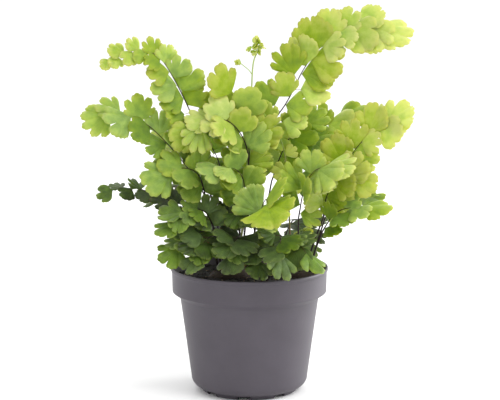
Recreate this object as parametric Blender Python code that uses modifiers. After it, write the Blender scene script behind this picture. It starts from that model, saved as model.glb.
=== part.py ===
"""A maidenhair fern in a round plastic nursery pot.

Metres, +Z up. The origin is the centre of the pot's foot, on the surface that the pot stands on.
The pot and the soil are turned shapes. Each frond is a bare stalk and a blade: the blade's axes are
tubes through hand-chosen points, and its fan-shaped leaflets grow along them by rule. A leaflet that
would touch something turns a little, and then grows a little smaller, until it is clear.
"""

import math

import bmesh
import bpy
from mathutils import Matrix, Vector
from mathutils.bvhtree import BVHTree
from mathutils.kdtree import KDTree

MM = 0.001

# Pot
POT_HEIGHT = 0.096
RIM_RADIUS = 0.060
COLLAR_HEIGHT = 0.0185
COLLAR_STEP = 0.0060
SHOULDER_HEIGHT = 0.0045
SHOULDER_INSET = 0.0010
WALL_DRAFT = 0.0100
WALL = 0.0011
LIP_WIDTH = 0.0016
LIP_HEIGHT = 0.0022
FOOT_HEIGHT = 0.0030
FOOT_ROUNDING = 0.0080
FOOT_WIDTH = 0.0026
FEET = 8
FOOT_GAP_ANGLE = math.radians(15)
FOOT_GAP_START = math.radians(-96.5)
DRAIN_HOLES = 8
DRAIN_HOLE_RADIUS = 0.004
DRAIN_CIRCLE_RADIUS = 0.026
TURNING_STEPS = 32

# Soil
SOIL_BELOW_RIM = 0.0080
SOIL_MOUND = 0.0012
GAP = 0.0003

# Fern, above the soil
FERN_HEIGHT = 0.204
FERN_SPREAD = 0.251
DRAWN_HEIGHT = 204
DRAWN_SPREAD = 251
LEAFLET_SCALE = 1.08
LEAFLET_THICKNESS = 0.0007
LEAFLET_CLEARANCE = 0.0005
STALK_RADIUS = 0.00085
AXIS_RADIUS = 0.00055
CROZIER_RADIUS = 0.00080
TUBE_STEP = 0.009

# Root stocks: centre x and y, half length, half width and half height, all in mm, and heading in degrees
CROWNS = {
    "left": ((-14, -2), (17, 11, 6), 8),
    "right": ((40, 0), (12, 10, 5.5), -20),
    "back": ((9, 26), (15, 9, 5.5), 5),
}
CROWN_SINK = 0.0010

# Every route is in mm from the middle of the soil's top, in the fern's drawn size: x, y and height.
# A frond has a crown, its foot on the crown (x, y), its bare stalk's points, and its branches. A branch
# has its own points after the fork, a number of leaflets, their width in mm, the last one's width as a
# share of that, the reach of the lowest one's stem in mm, and the way that the upper faces look: heading
# and height in degrees.
FRONDS = {
    "tall_left": ("left", (-17, 1), [(-22, -2, 28), (-30, -5, 66), (-37, -8, 100)], [
        ([(-45, -10, 128), (-63, -14, 163), (-76, -15, 172), (-91, -16, 172), (-105, -16, 165)],
         19, 18, 0.4, 4, (-82, 30)),
    ]),
    "mid_left": ("left", (-21, -1), [(-25, -5, 26), (-33, -10, 62)], [
        ([(-49, -13, 88), (-69, -15, 111), (-79, -16, 119), (-94, -17, 127), (-106, -17, 125)],
         12, 16, 1.25, 4, (-85, 34)),
        ([(-38, -18, 80), (-48, -24, 86), (-58, -27, 84)], 6, 17, 1.4, 4, (-80, 30)),
    ]),
    "low_left": ("left", (-24, -5), [(-26, -8, 18), (-38, -10, 44)], [
        ([(-60, -12, 59), (-75, -12, 66), (-90, -12, 69), (-104, -12, 67)], 10, 14, 0.8, 4, (-75, 52)),
    ]),
    "droop_left": ("left", (-19, -7), [(-21, -12, 18), (-26, -18, 38)], [
        ([(-34, -26, 54), (-46, -33, 54), (-57, -38, 47)], 9, 15, 1.0, 4, (-95, 45)),
        ([(-34, -24, 38), (-45, -31, 36), (-53, -36, 29)], 8, 16, 1.1, 4, (-100, 40)),
    ]),
    "back_left": ("left", (-16, 5), [(-18, 12, 30), (-19, 22, 60)], [
        ([(-24, 28, 84), (-33, 33, 97), (-46, 37, 101)], 8, 19, 1.0, 6, (-100, 45)),
    ]),
    "centre_arch": ("left", (-7, -4), [(-3, -6, 40), (0, -8, 80)], [
        ([(-3, -12, 103), (-14, -15, 119), (-27, -17, 121), (-42, -18, 112)], 11, 19, 1.0, 4, (-88, 35)),
        ([(-1, -5, 108), (-6, -6, 126), (-14, -8, 141)], 7, 20, 1.1, 5, (-85, 20)),
    ]),
    "tall_right": ("left", (-11, 2), [(-6, 3, 30), (3, 4, 75), (9, 5, 97)], [
        ([(17, 6, 115), (29, 7, 133), (43, 8, 160), (60, 8, 179), (80, 8, 190), (98, 7, 188)],
         20, 21, 1.2, 5, (-88, 30)),
    ]),
    "right": ("right", (43, 1), [(48, -2, 22), (56, -5, 45)], [
        ([(64, -7, 66), (74, -9, 89), (87, -10, 107), (102, -10, 118)], 12, 17, 1.35, 4, (-90, 32)),
        ([(58, -12, 62), (66, -17, 75), (77, -20, 77)], 7, 18, 1.1, 4, (-85, 35)),
    ]),
    "right_low": ("right", (46, -5), [(49, -9, 18), (55, -14, 36)], [
        ([(64, -20, 51), (75, -25, 56), (86, -27, 57)], 6, 16, 1.2, 4, (-80, 50)),
    ]),
    "right_back": ("back", (17, 27), [(21, 28, 30), (28, 30, 62)], [
        ([(39, 33, 88), (53, 36, 107), (70, 38, 116)], 8, 21, 1.0, 6, (-90, 40)),
    ]),
    "front_centre": ("left", (-2, -3), [(0, -11, 20), (5, -24, 42)], [
        ([(9, -38, 58), (12, -51, 67), (14, -62, 65)], 5, 17, 1.9, 5, (-90, 34)),
    ]),
    "young": ("right", (33, 2), [(31, 1, 30), (30, 0, 60)], [
        ([(27, 0, 91), (22, -1, 108), (9, -2, 127)], 6, 9, 0.8, 4, (-90, 15)),
    ]),
    "middle": ("back", (8, 21), [(10, 17, 30), (17, 14, 70)], [
        ([(24, 14, 90), (32, 16, 105), (43, 18, 114)], 7, 17, 1.0, 5, (-90, 35)),
    ]),
    "left_middle": ("left", (-8, -9), [(-8, -12, 25), (-6, -13, 52)], [
        ([(-4, -19, 74), (-11, -26, 86), (-22, -30, 87)], 7, 18, 1.0, 4, (-85, 35)),
    ]),
    "right_middle": ("right", (38, -5), [(37, -9, 22), (37, -13, 46)], [
        ([(41, -21, 70), (48, -27, 84), (58, -29, 88)], 8, 17, 1.2, 5, (-88, 35)),
    ]),
    "front_right": ("right", (34, -4), [(29, -15, 20), (25, -28, 32)], [
        ([(23, -42, 39), (23, -53, 36), (23, -60, 27)], 6, 18, 1.0, 5, (-90, 40)),
        ([(34, -40, 34), (42, -48, 26)], 4, 18, 1.0, 5, (-80, 50)),
    ]),
    "front_middle": ("left", (-12, -10), [(-10, -16, 18), (-6, -25, 32)], [
        ([(-8, -36, 37), (-11, -45, 33), (-13, -52, 25)], 7, 17, 0.9, 5, (-90, 45)),
        ([(1, -34, 33), (5, -43, 28), (6, -50, 21)], 6, 16, 1.0, 5, (-85, 45)),
    ]),
    "front_left": ("left", (-17, -10), [(-19, -16, 18), (-23, -25, 33)], [
        ([(-29, -34, 36), (-35, -41, 31), (-39, -46, 24)], 7, 16, 0.9, 5, (-100, 45)),
    ]),
    "inner_left": ("left", (-13, -4), [(-16, -7, 20), (-20, -12, 40)], [
        ([(-15, -20, 50), (-10, -27, 54), (-4, -35, 52)], 6, 15, 1.1, 4, (-85, 42)),
    ]),
    "side_left": ("left", (-24, 4), [(-28, 10, 22), (-34, 16, 42)], [
        ([(-46, 28, 58), (-58, 40, 62), (-68, 52, 54)], 8, 19, 1.0, 6, (140, 55)),
    ]),
    "side_right": ("right", (47, 5), [(52, 11, 22), (58, 18, 40)], [
        ([(68, 27, 54), (80, 37, 60), (90, 48, 54)], 8, 19, 1.0, 6, (45, 55)),
    ]),
    "back_middle": ("back", (6, 30), [(4, 37, 28), (-2, 45, 52)], [
        ([(-8, 52, 74), (-14, 62, 86), (-16, 71, 82), (-16, 77, 72)], 9, 19, 1.0, 5, (95, 45)),
    ]),
    "back_tall_left": ("back", (-1, 27), [(-8, 34, 28), (-18, 42, 56)], [
        ([(-30, 51, 80), (-44, 61, 94), (-60, 69, 94)], 9, 21, 1.0, 5, (125, 45)),
    ]),
    "back_tall_right": ("back", (15, 31), [(22, 38, 30), (32, 47, 58)], [
        ([(44, 55, 80), (58, 63, 91), (74, 70, 88)], 9, 21, 1.0, 5, (60, 45)),
    ]),
    "back_low_left": ("back", (-4, 23), [(-11, 30, 18), (-18, 38, 30)], [
        ([(-26, 49, 35), (-33, 60, 28), (-37, 68, 16)], 7, 19, 1.0, 5, (115, 45)),
    ]),
    "back_low_right": ("back", (21, 24), [(26, 32, 18), (31, 41, 30)], [
        ([(36, 52, 34), (41, 62, 27), (44, 69, 15)], 7, 19, 1.0, 5, (70, 45)),
    ]),
}

# A crozier has a crown, a foot, its points up to the coil, the coil's radius in mm and its turning side
CROZIERS = {
    "crozier_tall": ("left", (-7, 1), [(-4, 0, 66), (0, -1, 100), (2, -2, 150), (3, -2, 163), (7, -2, 173)], 2.8, -1),
    "crozier_small": ("right", (40, 6), [(41, 8, 14), (43, 9, 30)], 3.0, -1),
}

# The leaflet is drawn 1 wide: x across, y outwards from the end of its stem
FAN_HEIGHT = 0.84
FAN_OUTLINE = [(0.50, 0.45), (0.30, FAN_HEIGHT), (-0.30, FAN_HEIGHT), (-0.50, 0.45)]
STEM_WIDTH = 0.0009
SHORT_STEM = 0.0055
BOTTOM_ANGLE = 62
TOP_ANGLE = 38
DROOP = 0.28
TRIES = [(14, 0), (20, 6), (8, -6), (14, 18), (14, -18), (26, 0), (0, 0), (26, 16), (26, -16), (-12, 0),
         (36, 10), (36, -10), (-24, 0), (14, 32), (14, -32), (46, 0), (-36, 0), (48, 22), (48, -22),
         (62, 0), (-50, 0), (30, 46), (30, -46), (-30, 46), (-30, -46), (76, 20), (76, -20)]
SHRINKS = (1.0, 0.88, 0.76, 0.64, 0.54, 0.44, 0.34, 0.25, 0.18)

STEM_SAMPLE = 0.0006
LOWEST_SHARE = 0.08
TOP_SHARE = 0.98

# Colours: base colour, roughness
PLASTIC_GREY = ((0.115, 0.105, 0.120, 1), 0.50)
PEAT_BROWN = ((0.030, 0.020, 0.014, 1), 0.95)
CROWN_BROWN = ((0.075, 0.040, 0.020, 1), 0.90)
STALK_BLACK = ((0.030, 0.014, 0.012, 1), 0.30)
LEAF_GREEN = ((0.330, 0.480, 0.060, 1), 0.50)
CROZIER_GREEN = ((0.430, 0.560, 0.180, 1), 0.55)


# Scene

def clear_scene():
    for obj in list(bpy.data.objects):
        bpy.data.objects.remove(obj, do_unlink=True)


def new_collection(name, helper=False):
    collection = bpy.data.collections.new(name)
    bpy.context.scene.collection.children.link(collection)
    collection.hide_render = helper
    return collection


def new_material(name, finish):
    colour, roughness = finish
    material = bpy.data.materials.new(name)
    material.use_nodes = True
    shader = material.node_tree.nodes["Principled BSDF"]
    shader.inputs["Base Color"].default_value = colour
    shader.inputs["Roughness"].default_value = roughness
    shader.inputs["Metallic"].default_value = 0.0
    material.diffuse_color = colour
    return material


def add_object(name, data, collection, material=None):
    obj = bpy.data.objects.new(name, data)
    collection.objects.link(obj)
    if material:
        obj.data.materials.append(material)
    return obj


def as_helper(obj):
    obj.hide_render = True
    obj.display_type = "WIRE"
    return obj


def boolean(obj, other, operation):
    modifier = obj.modifiers.new(f"{operation.lower()} {other.name}", "BOOLEAN")
    modifier.operation = operation
    modifier.object = other
    modifier.solver = "EXACT"


def evaluated_tree(obj):
    """The object's surface as it stands after its modifiers, for clearance tests."""
    bpy.context.view_layer.update()
    return BVHTree.FromObject(obj, bpy.context.evaluated_depsgraph_get())


def turned(name, profile, collection, material=None):
    """A solid of revolution: the profile's points are (radius, height), down the outer side."""
    mesh = bpy.data.meshes.new(name)
    mesh.from_pydata([(r, 0, z) for r, z in profile], [(i, i + 1) for i in range(len(profile) - 1)], [])
    obj = add_object(name, mesh, collection, material)
    screw = obj.modifiers.new("turn", "SCREW")
    screw.steps = TURNING_STEPS
    screw.render_steps = TURNING_STEPS
    screw.use_merge_vertices = True
    screw.merge_threshold = 0.00001
    screw.use_smooth_shade = True
    return obj


def cylinder(name, radius, bottom, top, x, y, collection):
    bpy.ops.mesh.primitive_cylinder_add(vertices=12, radius=radius, depth=top - bottom,
                                        location=(x, y, (top + bottom) / 2))
    obj = bpy.context.object
    obj.name = name
    move_to(obj, collection)
    return as_helper(obj)


def move_to(obj, collection):
    for old in list(obj.users_collection):
        old.objects.unlink(obj)
    collection.objects.link(obj)


# Pot

def wall_radius(z):
    """The pot's outer radius at a height under its shoulder."""
    top = POT_HEIGHT - COLLAR_HEIGHT - SHOULDER_HEIGHT
    return RIM_RADIUS - COLLAR_STEP - SHOULDER_INSET - WALL_DRAFT * (1 - z / top)


def outer_profile():
    """(radius, height) down the outer side, from the lip to the foot."""
    collar_foot = POT_HEIGHT - COLLAR_HEIGHT
    shoulder_foot = collar_foot - SHOULDER_HEIGHT
    points = [
        (RIM_RADIUS - 0.0005, POT_HEIGHT),
        (RIM_RADIUS, POT_HEIGHT - 0.0006),
        (RIM_RADIUS, POT_HEIGHT - LIP_HEIGHT),
        (RIM_RADIUS - 0.0005, POT_HEIGHT - LIP_HEIGHT - 0.0005),
        (RIM_RADIUS - 0.0011, collar_foot),
        (RIM_RADIUS - 0.0024, collar_foot - 0.5 * SHOULDER_HEIGHT),
        (wall_radius(shoulder_foot), shoulder_foot),
    ]
    rounding_top = FOOT_HEIGHT + FOOT_ROUNDING
    corner = wall_radius(rounding_top) - FOOT_ROUNDING
    for step in range(4):
        angle = math.radians(30 * step)
        radius = corner + FOOT_ROUNDING * math.cos(angle)
        points.append((radius, rounding_top - FOOT_ROUNDING * math.sin(angle)))
    return points


def foot_radius():
    """The foot ring's outer radius, a little inside the rounding's end."""
    return outer_profile()[-1][0]


def inner_profile():
    """(radius, height) up the inner side, from the floor's edge to the lip."""
    collar_foot = POT_HEIGHT - COLLAR_HEIGHT
    shoulder_foot = collar_foot - SHOULDER_HEIGHT
    rounding_top = FOOT_HEIGHT + FOOT_ROUNDING
    corner = wall_radius(rounding_top) - FOOT_ROUNDING
    rounding = FOOT_ROUNDING - WALL
    points = []
    for step in range(3, -1, -1):
        angle = math.radians(30 * step)
        points.append((corner + rounding * math.cos(angle), rounding_top - rounding * math.sin(angle)))
    return points + [
        (wall_radius(shoulder_foot) - WALL, shoulder_foot + 0.3 * WALL),
        (RIM_RADIUS - 0.0011 - 1.3 * WALL, collar_foot + 0.3 * WALL),
        (RIM_RADIUS - LIP_WIDTH, POT_HEIGHT - LIP_HEIGHT),
        (RIM_RADIUS - LIP_WIDTH, POT_HEIGHT - 0.0004),
        (RIM_RADIUS - LIP_WIDTH + 0.0004, POT_HEIGHT),
    ]


def floor_top():
    return inner_profile()[0][1]


def inner_radius(z):
    """The pot's inner radius at a height, read off its inner profile."""
    profile = inner_profile()
    for (r0, z0), (r1, z1) in zip(profile, profile[1:]):
        if z0 <= z <= z1:
            return r0 + (r1 - r0) * (z - z0) / (z1 - z0)
    return profile[-1][0]


def make_pot(collection, helpers, material):
    ring_outer = foot_radius()
    ring_inner = ring_outer - FOOT_WIDTH
    floor_edge = inner_profile()[0][0]
    profile = outer_profile()
    profile += [(ring_outer - 0.0004, 0), (ring_inner, 0), (ring_inner, FOOT_HEIGHT), (0, FOOT_HEIGHT)]
    inner = [(0, floor_top()), (floor_edge, floor_top())] + inner_profile()[1:]
    pot = turned("pot", profile + inner + [profile[0]], collection, material)
    for index in range(FEET):
        gap = make_foot_gap(f"foot_gap_{index + 1}", ring_outer, helpers)
        gap.rotation_euler.z = FOOT_GAP_START + math.tau * index / FEET
        boolean(pot, gap, "DIFFERENCE")
    for index in range(DRAIN_HOLES):
        angle = FOOT_GAP_START + math.tau * (index + 0.5) / DRAIN_HOLES
        hole = cylinder(f"drain_hole_{index + 1}", DRAIN_HOLE_RADIUS, 0, floor_top() + 0.002,
                        DRAIN_CIRCLE_RADIUS * math.cos(angle), DRAIN_CIRCLE_RADIUS * math.sin(angle), helpers)
        boolean(pot, hole, "DIFFERENCE")
    return pot


def make_foot_gap(name, ring_outer, helpers):
    """A block across the foot ring that leaves the floor above it whole."""
    width = 2 * ring_outer * math.sin(FOOT_GAP_ANGLE / 2)
    bpy.ops.mesh.primitive_cube_add(size=1)
    gap = bpy.context.object
    gap.name = name
    length = 3 * FOOT_WIDTH
    gap.data.transform(Matrix.Diagonal((length, width, 2 * FOOT_HEIGHT, 1)))
    gap.data.transform(Matrix.Translation((ring_outer - FOOT_WIDTH / 2, 0, -0.0004)))
    move_to(gap, helpers)
    return as_helper(gap)


# Soil and root stocks

def soil_edge_height():
    return POT_HEIGHT - SOIL_BELOW_RIM


def soil_height(x, y):
    """The soil's top, a low mound."""
    share = min(1.0, math.hypot(x, y) / inner_radius(soil_edge_height()))
    return soil_edge_height() + SOIL_MOUND * (1 - share ** 2)


def make_soil(crowns, collection, helpers, material):
    edge = inner_radius(soil_edge_height()) - GAP
    profile = [(0, soil_height(0, 0))]
    profile += [(edge * share, soil_height(edge * share, 0)) for share in (0.4, 0.75, 1.0)]
    below = [(r, z) for r, z in reversed(inner_profile()) if z < soil_edge_height() - 0.001]
    profile += [(r - GAP, max(z, floor_top() + GAP)) for r, z in below]
    profile.append((0, floor_top() + GAP))
    soil = turned("soil", profile, collection, material)
    for crown in crowns.values():
        pocket = make_crown_shape(f"pocket_for_{crown.name}", crown["crown"], GAP, helpers)
        boolean(soil, as_helper(pocket), "DIFFERENCE")
    return soil


def make_crown_shape(name, crown, grow, collection, material=None):
    """A lumpy oval body that lies half in the soil, made larger all round by grow."""
    (x, y), half, heading = CROWNS[crown]
    bpy.ops.mesh.primitive_ico_sphere_add(subdivisions=2, radius=1)
    obj = bpy.context.object
    obj.name = name
    for vertex in obj.data.vertices:
        co = vertex.co
        lump = 1 + 0.07 * math.sin(4.3 * co.x + 2.1 * co.y) + 0.06 * math.cos(5.1 * co.y - 3.3 * co.z)
        sides = [axis * MM * lump + 1.3 * grow for axis in half]
        vertex.co = Vector((co.x * sides[0], co.y * sides[1], co.z * sides[2]))
    obj.data.transform(Matrix.Rotation(math.radians(heading), 4, "Z"))
    centre = Vector((x, y)) * (FERN_SPREAD / DRAWN_SPREAD)
    obj.data.transform(Matrix.Translation((centre.x, centre.y, soil_height(*centre) - CROWN_SINK)))
    obj.data.shade_smooth()
    move_to(obj, collection)
    if material:
        obj.data.materials.append(material)
    obj["crown"] = crown
    return obj


# Routes

def placed(point):
    """A drawn point in mm, brought to the fern's size above the soil's middle."""
    x, y, z = point
    across = FERN_SPREAD / DRAWN_SPREAD
    up = FERN_HEIGHT / DRAWN_HEIGHT
    return Vector((x * across, y * across, soil_height(0, 0) + z * up))


def foot_on(tree, foot, next_point):
    """Where a stalk stands on its crown, just so high that its tilted end is clear of the slope."""
    point = placed((*foot, 0))
    hit, normal, *_ = tree.ray_cast(point + Vector((0, 0, 0.05)), Vector((0, 0, -1)))
    slope = math.hypot(normal.x, normal.y) / normal.z
    rise = placed(next_point) - hit
    tilt = math.hypot(rise.x, rise.y) / rise.z
    return hit + Vector((0, 0, 2 * GAP + STALK_RADIUS * (slope + tilt)))


def smooth_route(points, step):
    """Evenly spread points on a Catmull-Rom curve through the given ones."""
    ends = [2 * points[0] - points[1]] + points + [2 * points[-1] - points[-2]]
    dense = [points[0]]
    for p0, p1, p2, p3 in zip(ends, ends[1:], ends[2:], ends[3:]):
        for i in range(1, 13):
            t = i / 12
            dense.append(0.5 * (2 * p1 + (p2 - p0) * t + (2 * p0 - 5 * p1 + 4 * p2 - p3) * t ** 2
                                + (3 * p1 - p0 - 3 * p2 + p3) * t ** 3))
    lengths = [0.0]
    for a, b in zip(dense, dense[1:]):
        lengths.append(lengths[-1] + (b - a).length)
    count = max(2, round(lengths[-1] / step))
    return [point_at(dense, lengths, lengths[-1] * i / count) for i in range(count + 1)]


def point_at(points, lengths, distance):
    for i in range(1, len(points)):
        if lengths[i] >= distance or i == len(points) - 1:
            share = (distance - lengths[i - 1]) / max(1e-9, lengths[i] - lengths[i - 1])
            return points[i - 1].lerp(points[i], min(1.0, share))


class Route:
    """A smooth line that can be asked for a point and a direction at a share of its length."""

    def __init__(self, points):
        self.points = smooth_route(points, TUBE_STEP)

    def at(self, share):
        place = share * (len(self.points) - 1)
        index = min(int(place), len(self.points) - 2)
        return self.points[index].lerp(self.points[index + 1], place - index)

    def direction(self, share):
        return (self.at(min(1.0, share + 0.06)) - self.at(max(0.0, share - 0.06))).normalized()

    def samples(self):
        """Points close together along the line."""
        found = []
        for a, b in zip(self.points, self.points[1:]):
            count = math.ceil((b - a).length / STEM_SAMPLE)
            found += [a.lerp(b, i / count) for i in range(count)]
        return found + [self.points[-1]]


def make_tube(name, points, radius, sides, collection, material=None):
    """A POLY curve with a round bevel, made a mesh with welded caps."""
    curve = bpy.data.curves.new(name, "CURVE")
    curve.dimensions = "3D"
    curve.bevel_depth = radius
    curve.bevel_resolution = sides // 2 - 2
    curve.use_fill_caps = True
    spline = curve.splines.new("POLY")
    spline.points.add(len(points) - 1)
    for target, point in zip(spline.points, points):
        target.co = (*point, 1)
    guide = bpy.data.objects.new(name + "_curve", curve)
    collection.objects.link(guide)
    bpy.context.view_layer.update()
    mesh = bpy.data.meshes.new_from_object(guide.evaluated_get(bpy.context.evaluated_depsgraph_get()))
    bpy.data.objects.remove(guide, do_unlink=True)
    bm = bmesh.new()
    bm.from_mesh(mesh)
    bmesh.ops.remove_doubles(bm, verts=bm.verts, dist=0.00001)
    bmesh.ops.recalc_face_normals(bm, faces=bm.faces)
    bm.to_mesh(mesh)
    bm.free()
    mesh.name = name
    mesh.shade_smooth()
    return add_object(name, mesh, collection, material)


# Leaflets

def leaflet_plate(width, reach, thickness):
    """The fan with its thin stem as a flat closed plate: points, and faces by point number."""
    half_stem = STEM_WIDTH / 2
    outline = [(x * width, y * width) for x, y in FAN_OUTLINE]
    if reach > SHORT_STEM:
        outline = [(half_stem, 0)] + outline + [(-half_stem, 0)]
    outline = [(half_stem, -reach)] + outline + [(-half_stem, -reach)]
    count = len(outline)
    points = [Vector((x, y + reach, side * thickness / 2)) for side in (1, -1) for x, y in outline]
    faces = [tuple(range(count)), tuple(range(2 * count - 1, count - 1, -1))]
    faces += [(i, i + count, (i + 1) % count + count, (i + 1) % count) for i in range(count)]
    return points, faces


def facing(degrees):
    """The direction with a heading and a height in degrees."""
    heading, height = (math.radians(angle) for angle in degrees)
    level = Vector((math.cos(heading), math.sin(heading), 0))
    return math.cos(height) * level + Vector((0, 0, math.sin(height)))


def leaflet_frame(base, axis, normal, lift, twist):
    """Where a leaflet stands: y along its axis, z out of its upper face, turned by lift and twist."""
    axis = axis.normalized()
    across = axis.cross(normal).normalized()
    normal = across.cross(axis)
    turn = Matrix.Rotation(math.radians(lift), 3, across) @ Matrix.Rotation(math.radians(twist), 3, axis)
    columns = Matrix((across, axis, normal)).transposed()
    return Matrix.Translation(base) @ (turn @ columns).to_4x4()


def wander(*keys):
    """A repeatable number from -1 to 1 for a leaflet's small differences."""
    value = math.sin(sum((i + 1) * 12.9898 * key for i, key in enumerate(keys))) * 43758.5453
    return 2 * (value - math.floor(value)) - 1


def planned_leaflets(route, count, width, tip, reach, face, seed):
    """For each leaflet on a branch: base, axis, normal, width and stem reach."""
    upper = facing(face)
    plans = []
    for i in range(count):
        share = LOWEST_SHARE + (TOP_SHARE - LOWEST_SHARE) * i / (count - 1)
        last = i == count - 1
        along = route.direction(share)
        normal = (upper - upper.dot(along) * along).normalized()
        sideways = along.cross(normal) * (-1 if i % 2 else 1)
        spread = BOTTOM_ANGLE + (TOP_ANGLE - BOTTOM_ANGLE) * share + 9 * wander(seed, i)
        angle = 0 if last else math.radians(spread)
        axis = along * math.cos(angle) + sideways * math.sin(angle) + Vector((0, 0, -DROOP))
        grown = (0.88 + 0.2 * math.sin(math.pi * share)) * (1 + (tip - 1) * share ** 2)
        grown *= 1 + 0.20 * wander(i, seed)
        size = LEAFLET_SCALE * width * MM * (tip if last else grown)
        stem = reach * MM * (1 - 0.75 * share) * (1.0 if (i // 2) % 2 else 0.6) + 0.0022
        turned_away = Vector((wander(seed, i, 1), wander(seed, i, 2), 0))
        tilt = (upper + 0.25 * sideways + 0.16 * turned_away).normalized()
        plans.append((route.at(share), axis, tilt, size, stem))
    return plans


class Clearance:
    """Everything that a leaflet must stay clear of."""

    def __init__(self, solid_trees, stem_samples):
        self.solids = solid_trees
        self.plates = []
        self.owners = [owner for owner, _, _ in stem_samples]
        self.radii = [radius for _, radius, _ in stem_samples]
        self.stems = KDTree(len(stem_samples))
        for index, (_, _, point) in enumerate(stem_samples):
            self.stems.insert(point, index)
        self.stems.balance()

    def blocked(self, frame, width, reach, owner):
        room = LEAFLET_THICKNESS + 2 * LEAFLET_CLEARANCE
        points, faces = leaflet_plate(width + LEAFLET_CLEARANCE, reach, room)
        points = [frame @ point for point in points]
        if any(self.under_soil(point) for point in points):
            return True
        tree = BVHTree.FromPolygons(points, faces)
        if any(tree.overlap(solid) for solid in self.solids):
            return True
        centre = frame @ Vector((0, reach + 0.45 * width, 0))
        bound = 0.75 * width + reach
        if any((centre - other).length < bound + other_bound and tree.overlap(other_tree)
               for other, other_bound, other_tree in self.plates):
            return True
        for point, index, _ in self.stems.find_range(centre, bound + STALK_RADIUS):
            if self.owners[index] != owner and tree.find_nearest(point, self.radii[index])[0] is not None:
                return True
        return False

    def under_soil(self, point):
        if math.hypot(point.x, point.y) > inner_radius(soil_edge_height()):
            return point.z < LEAFLET_CLEARANCE
        return point.z < soil_height(point.x, point.y) + LEAFLET_CLEARANCE

    def add(self, frame, width, reach):
        points, faces = leaflet_plate(width, reach, LEAFLET_THICKNESS)
        points = [frame @ point for point in points]
        centre = frame @ Vector((0, reach + 0.45 * width, 0))
        self.plates.append((centre, 0.75 * width + reach, BVHTree.FromPolygons(points, faces)))


def grow_leaflet(plan, clearance, owner):
    """The leaflet's frame, width and reach, turned and then made smaller until it is clear."""
    base, axis, normal, width, reach = plan
    for shrink in SHRINKS:
        for lift, twist in TRIES:
            frame = leaflet_frame(base, axis, normal, lift, twist)
            if not clearance.blocked(frame, width * shrink, reach, owner):
                clearance.add(frame, width * shrink, reach)
                return frame, width * shrink, reach
    clearance.add(frame, width * shrink, reach)
    return frame, width * shrink, reach


# Fern

def frond_routes(crown_trees):
    """For each frond, its stalk's route and its branches' routes."""
    routes = {}
    for name, (crown, foot, stalk, branches) in FRONDS.items():
        base = foot_on(crown_trees[crown], foot, stalk[0])
        stalk_points = [base] + [placed(point) for point in stalk]
        fork = stalk_points[-1:]
        limbs = [Route(fork + [placed(point) for point in branch[0]]) for branch in branches]
        routes[name] = (Route(stalk_points), limbs)
    return routes


def crozier_points(crown_trees, name):
    """A crozier's line: up its route, then round in a closing coil."""
    crown, foot, points, coil, side = CROZIERS[name]
    points = [foot_on(crown_trees[crown], foot, points[0])] + [placed(point) for point in points]
    stem = smooth_route(points, TUBE_STEP)
    forward = (stem[-1] - stem[-2]).normalized()
    across = Vector((side, 0, 0))
    across = (across - across.dot(forward) * forward).normalized()
    radius = coil * MM
    centre = stem[-1] + across * radius
    turns = 1.2
    steps = 11
    for i in range(1, steps + 1):
        angle = math.tau * turns * i / steps
        closing = radius * (1 - 0.52 * i / steps)
        stem.append(centre + closing * (math.sin(angle) * forward - math.cos(angle) * across))
    return stem


def stem_samples(routes, croziers):
    samples = []
    for name, (stalk, branches) in routes.items():
        samples += [(name + "_stalk", STALK_RADIUS, point) for point in stalk.samples()]
        for index, branch in enumerate(branches):
            samples += [(f"{name}_{index}", AXIS_RADIUS, point) for point in branch.samples()]
    for name, points in croziers.items():
        samples += [(name, CROZIER_RADIUS, point) for point in smooth_route(points, STEM_SAMPLE)]
    return samples


def make_stalk(name, stalk, collection, material):
    """The bare stalk, which ends a little before the blade starts."""
    points = stalk.points
    end = points[-1] - (points[-1] - points[-2]).normalized() * (2.5 * GAP)
    return make_tube(f"{name}_stalk", points[:-1] + [end], STALK_RADIUS, 6, collection, material)


def make_blade(name, seed, branches, specs, clearance, collection, helpers, material):
    """The branches joined at the fork, and every leaflet joined to them."""
    blade = make_tube(f"{name}_blade", branches[0].points, AXIS_RADIUS, 4, collection, material)
    for index, branch in enumerate(branches[1:], 2):
        limb = make_tube(f"{name}_branch_{index}", branch.points, AXIS_RADIUS, 4, helpers)
        boolean(blade, as_helper(limb), "UNION")
    bm = bmesh.new()
    for index, (branch, (_, *growth)) in enumerate(zip(branches, specs)):
        for plan in reversed(planned_leaflets(branch, *growth, seed + index)):
            frame, grown, stem = grow_leaflet(plan, clearance, f"{name}_{index}")
            points, faces = leaflet_plate(grown, stem, LEAFLET_THICKNESS)
            corners = [bm.verts.new(frame @ point) for point in points]
            for face_points in faces:
                bm.faces.new([corners[i] for i in face_points])
    bmesh.ops.recalc_face_normals(bm, faces=bm.faces)
    mesh = bpy.data.meshes.new(f"{name}_leaflets")
    bm.to_mesh(mesh)
    bm.free()
    leaflets = add_object(f"{name}_leaflets", mesh, helpers)
    boolean(blade, as_helper(leaflets), "UNION")
    return blade


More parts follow.
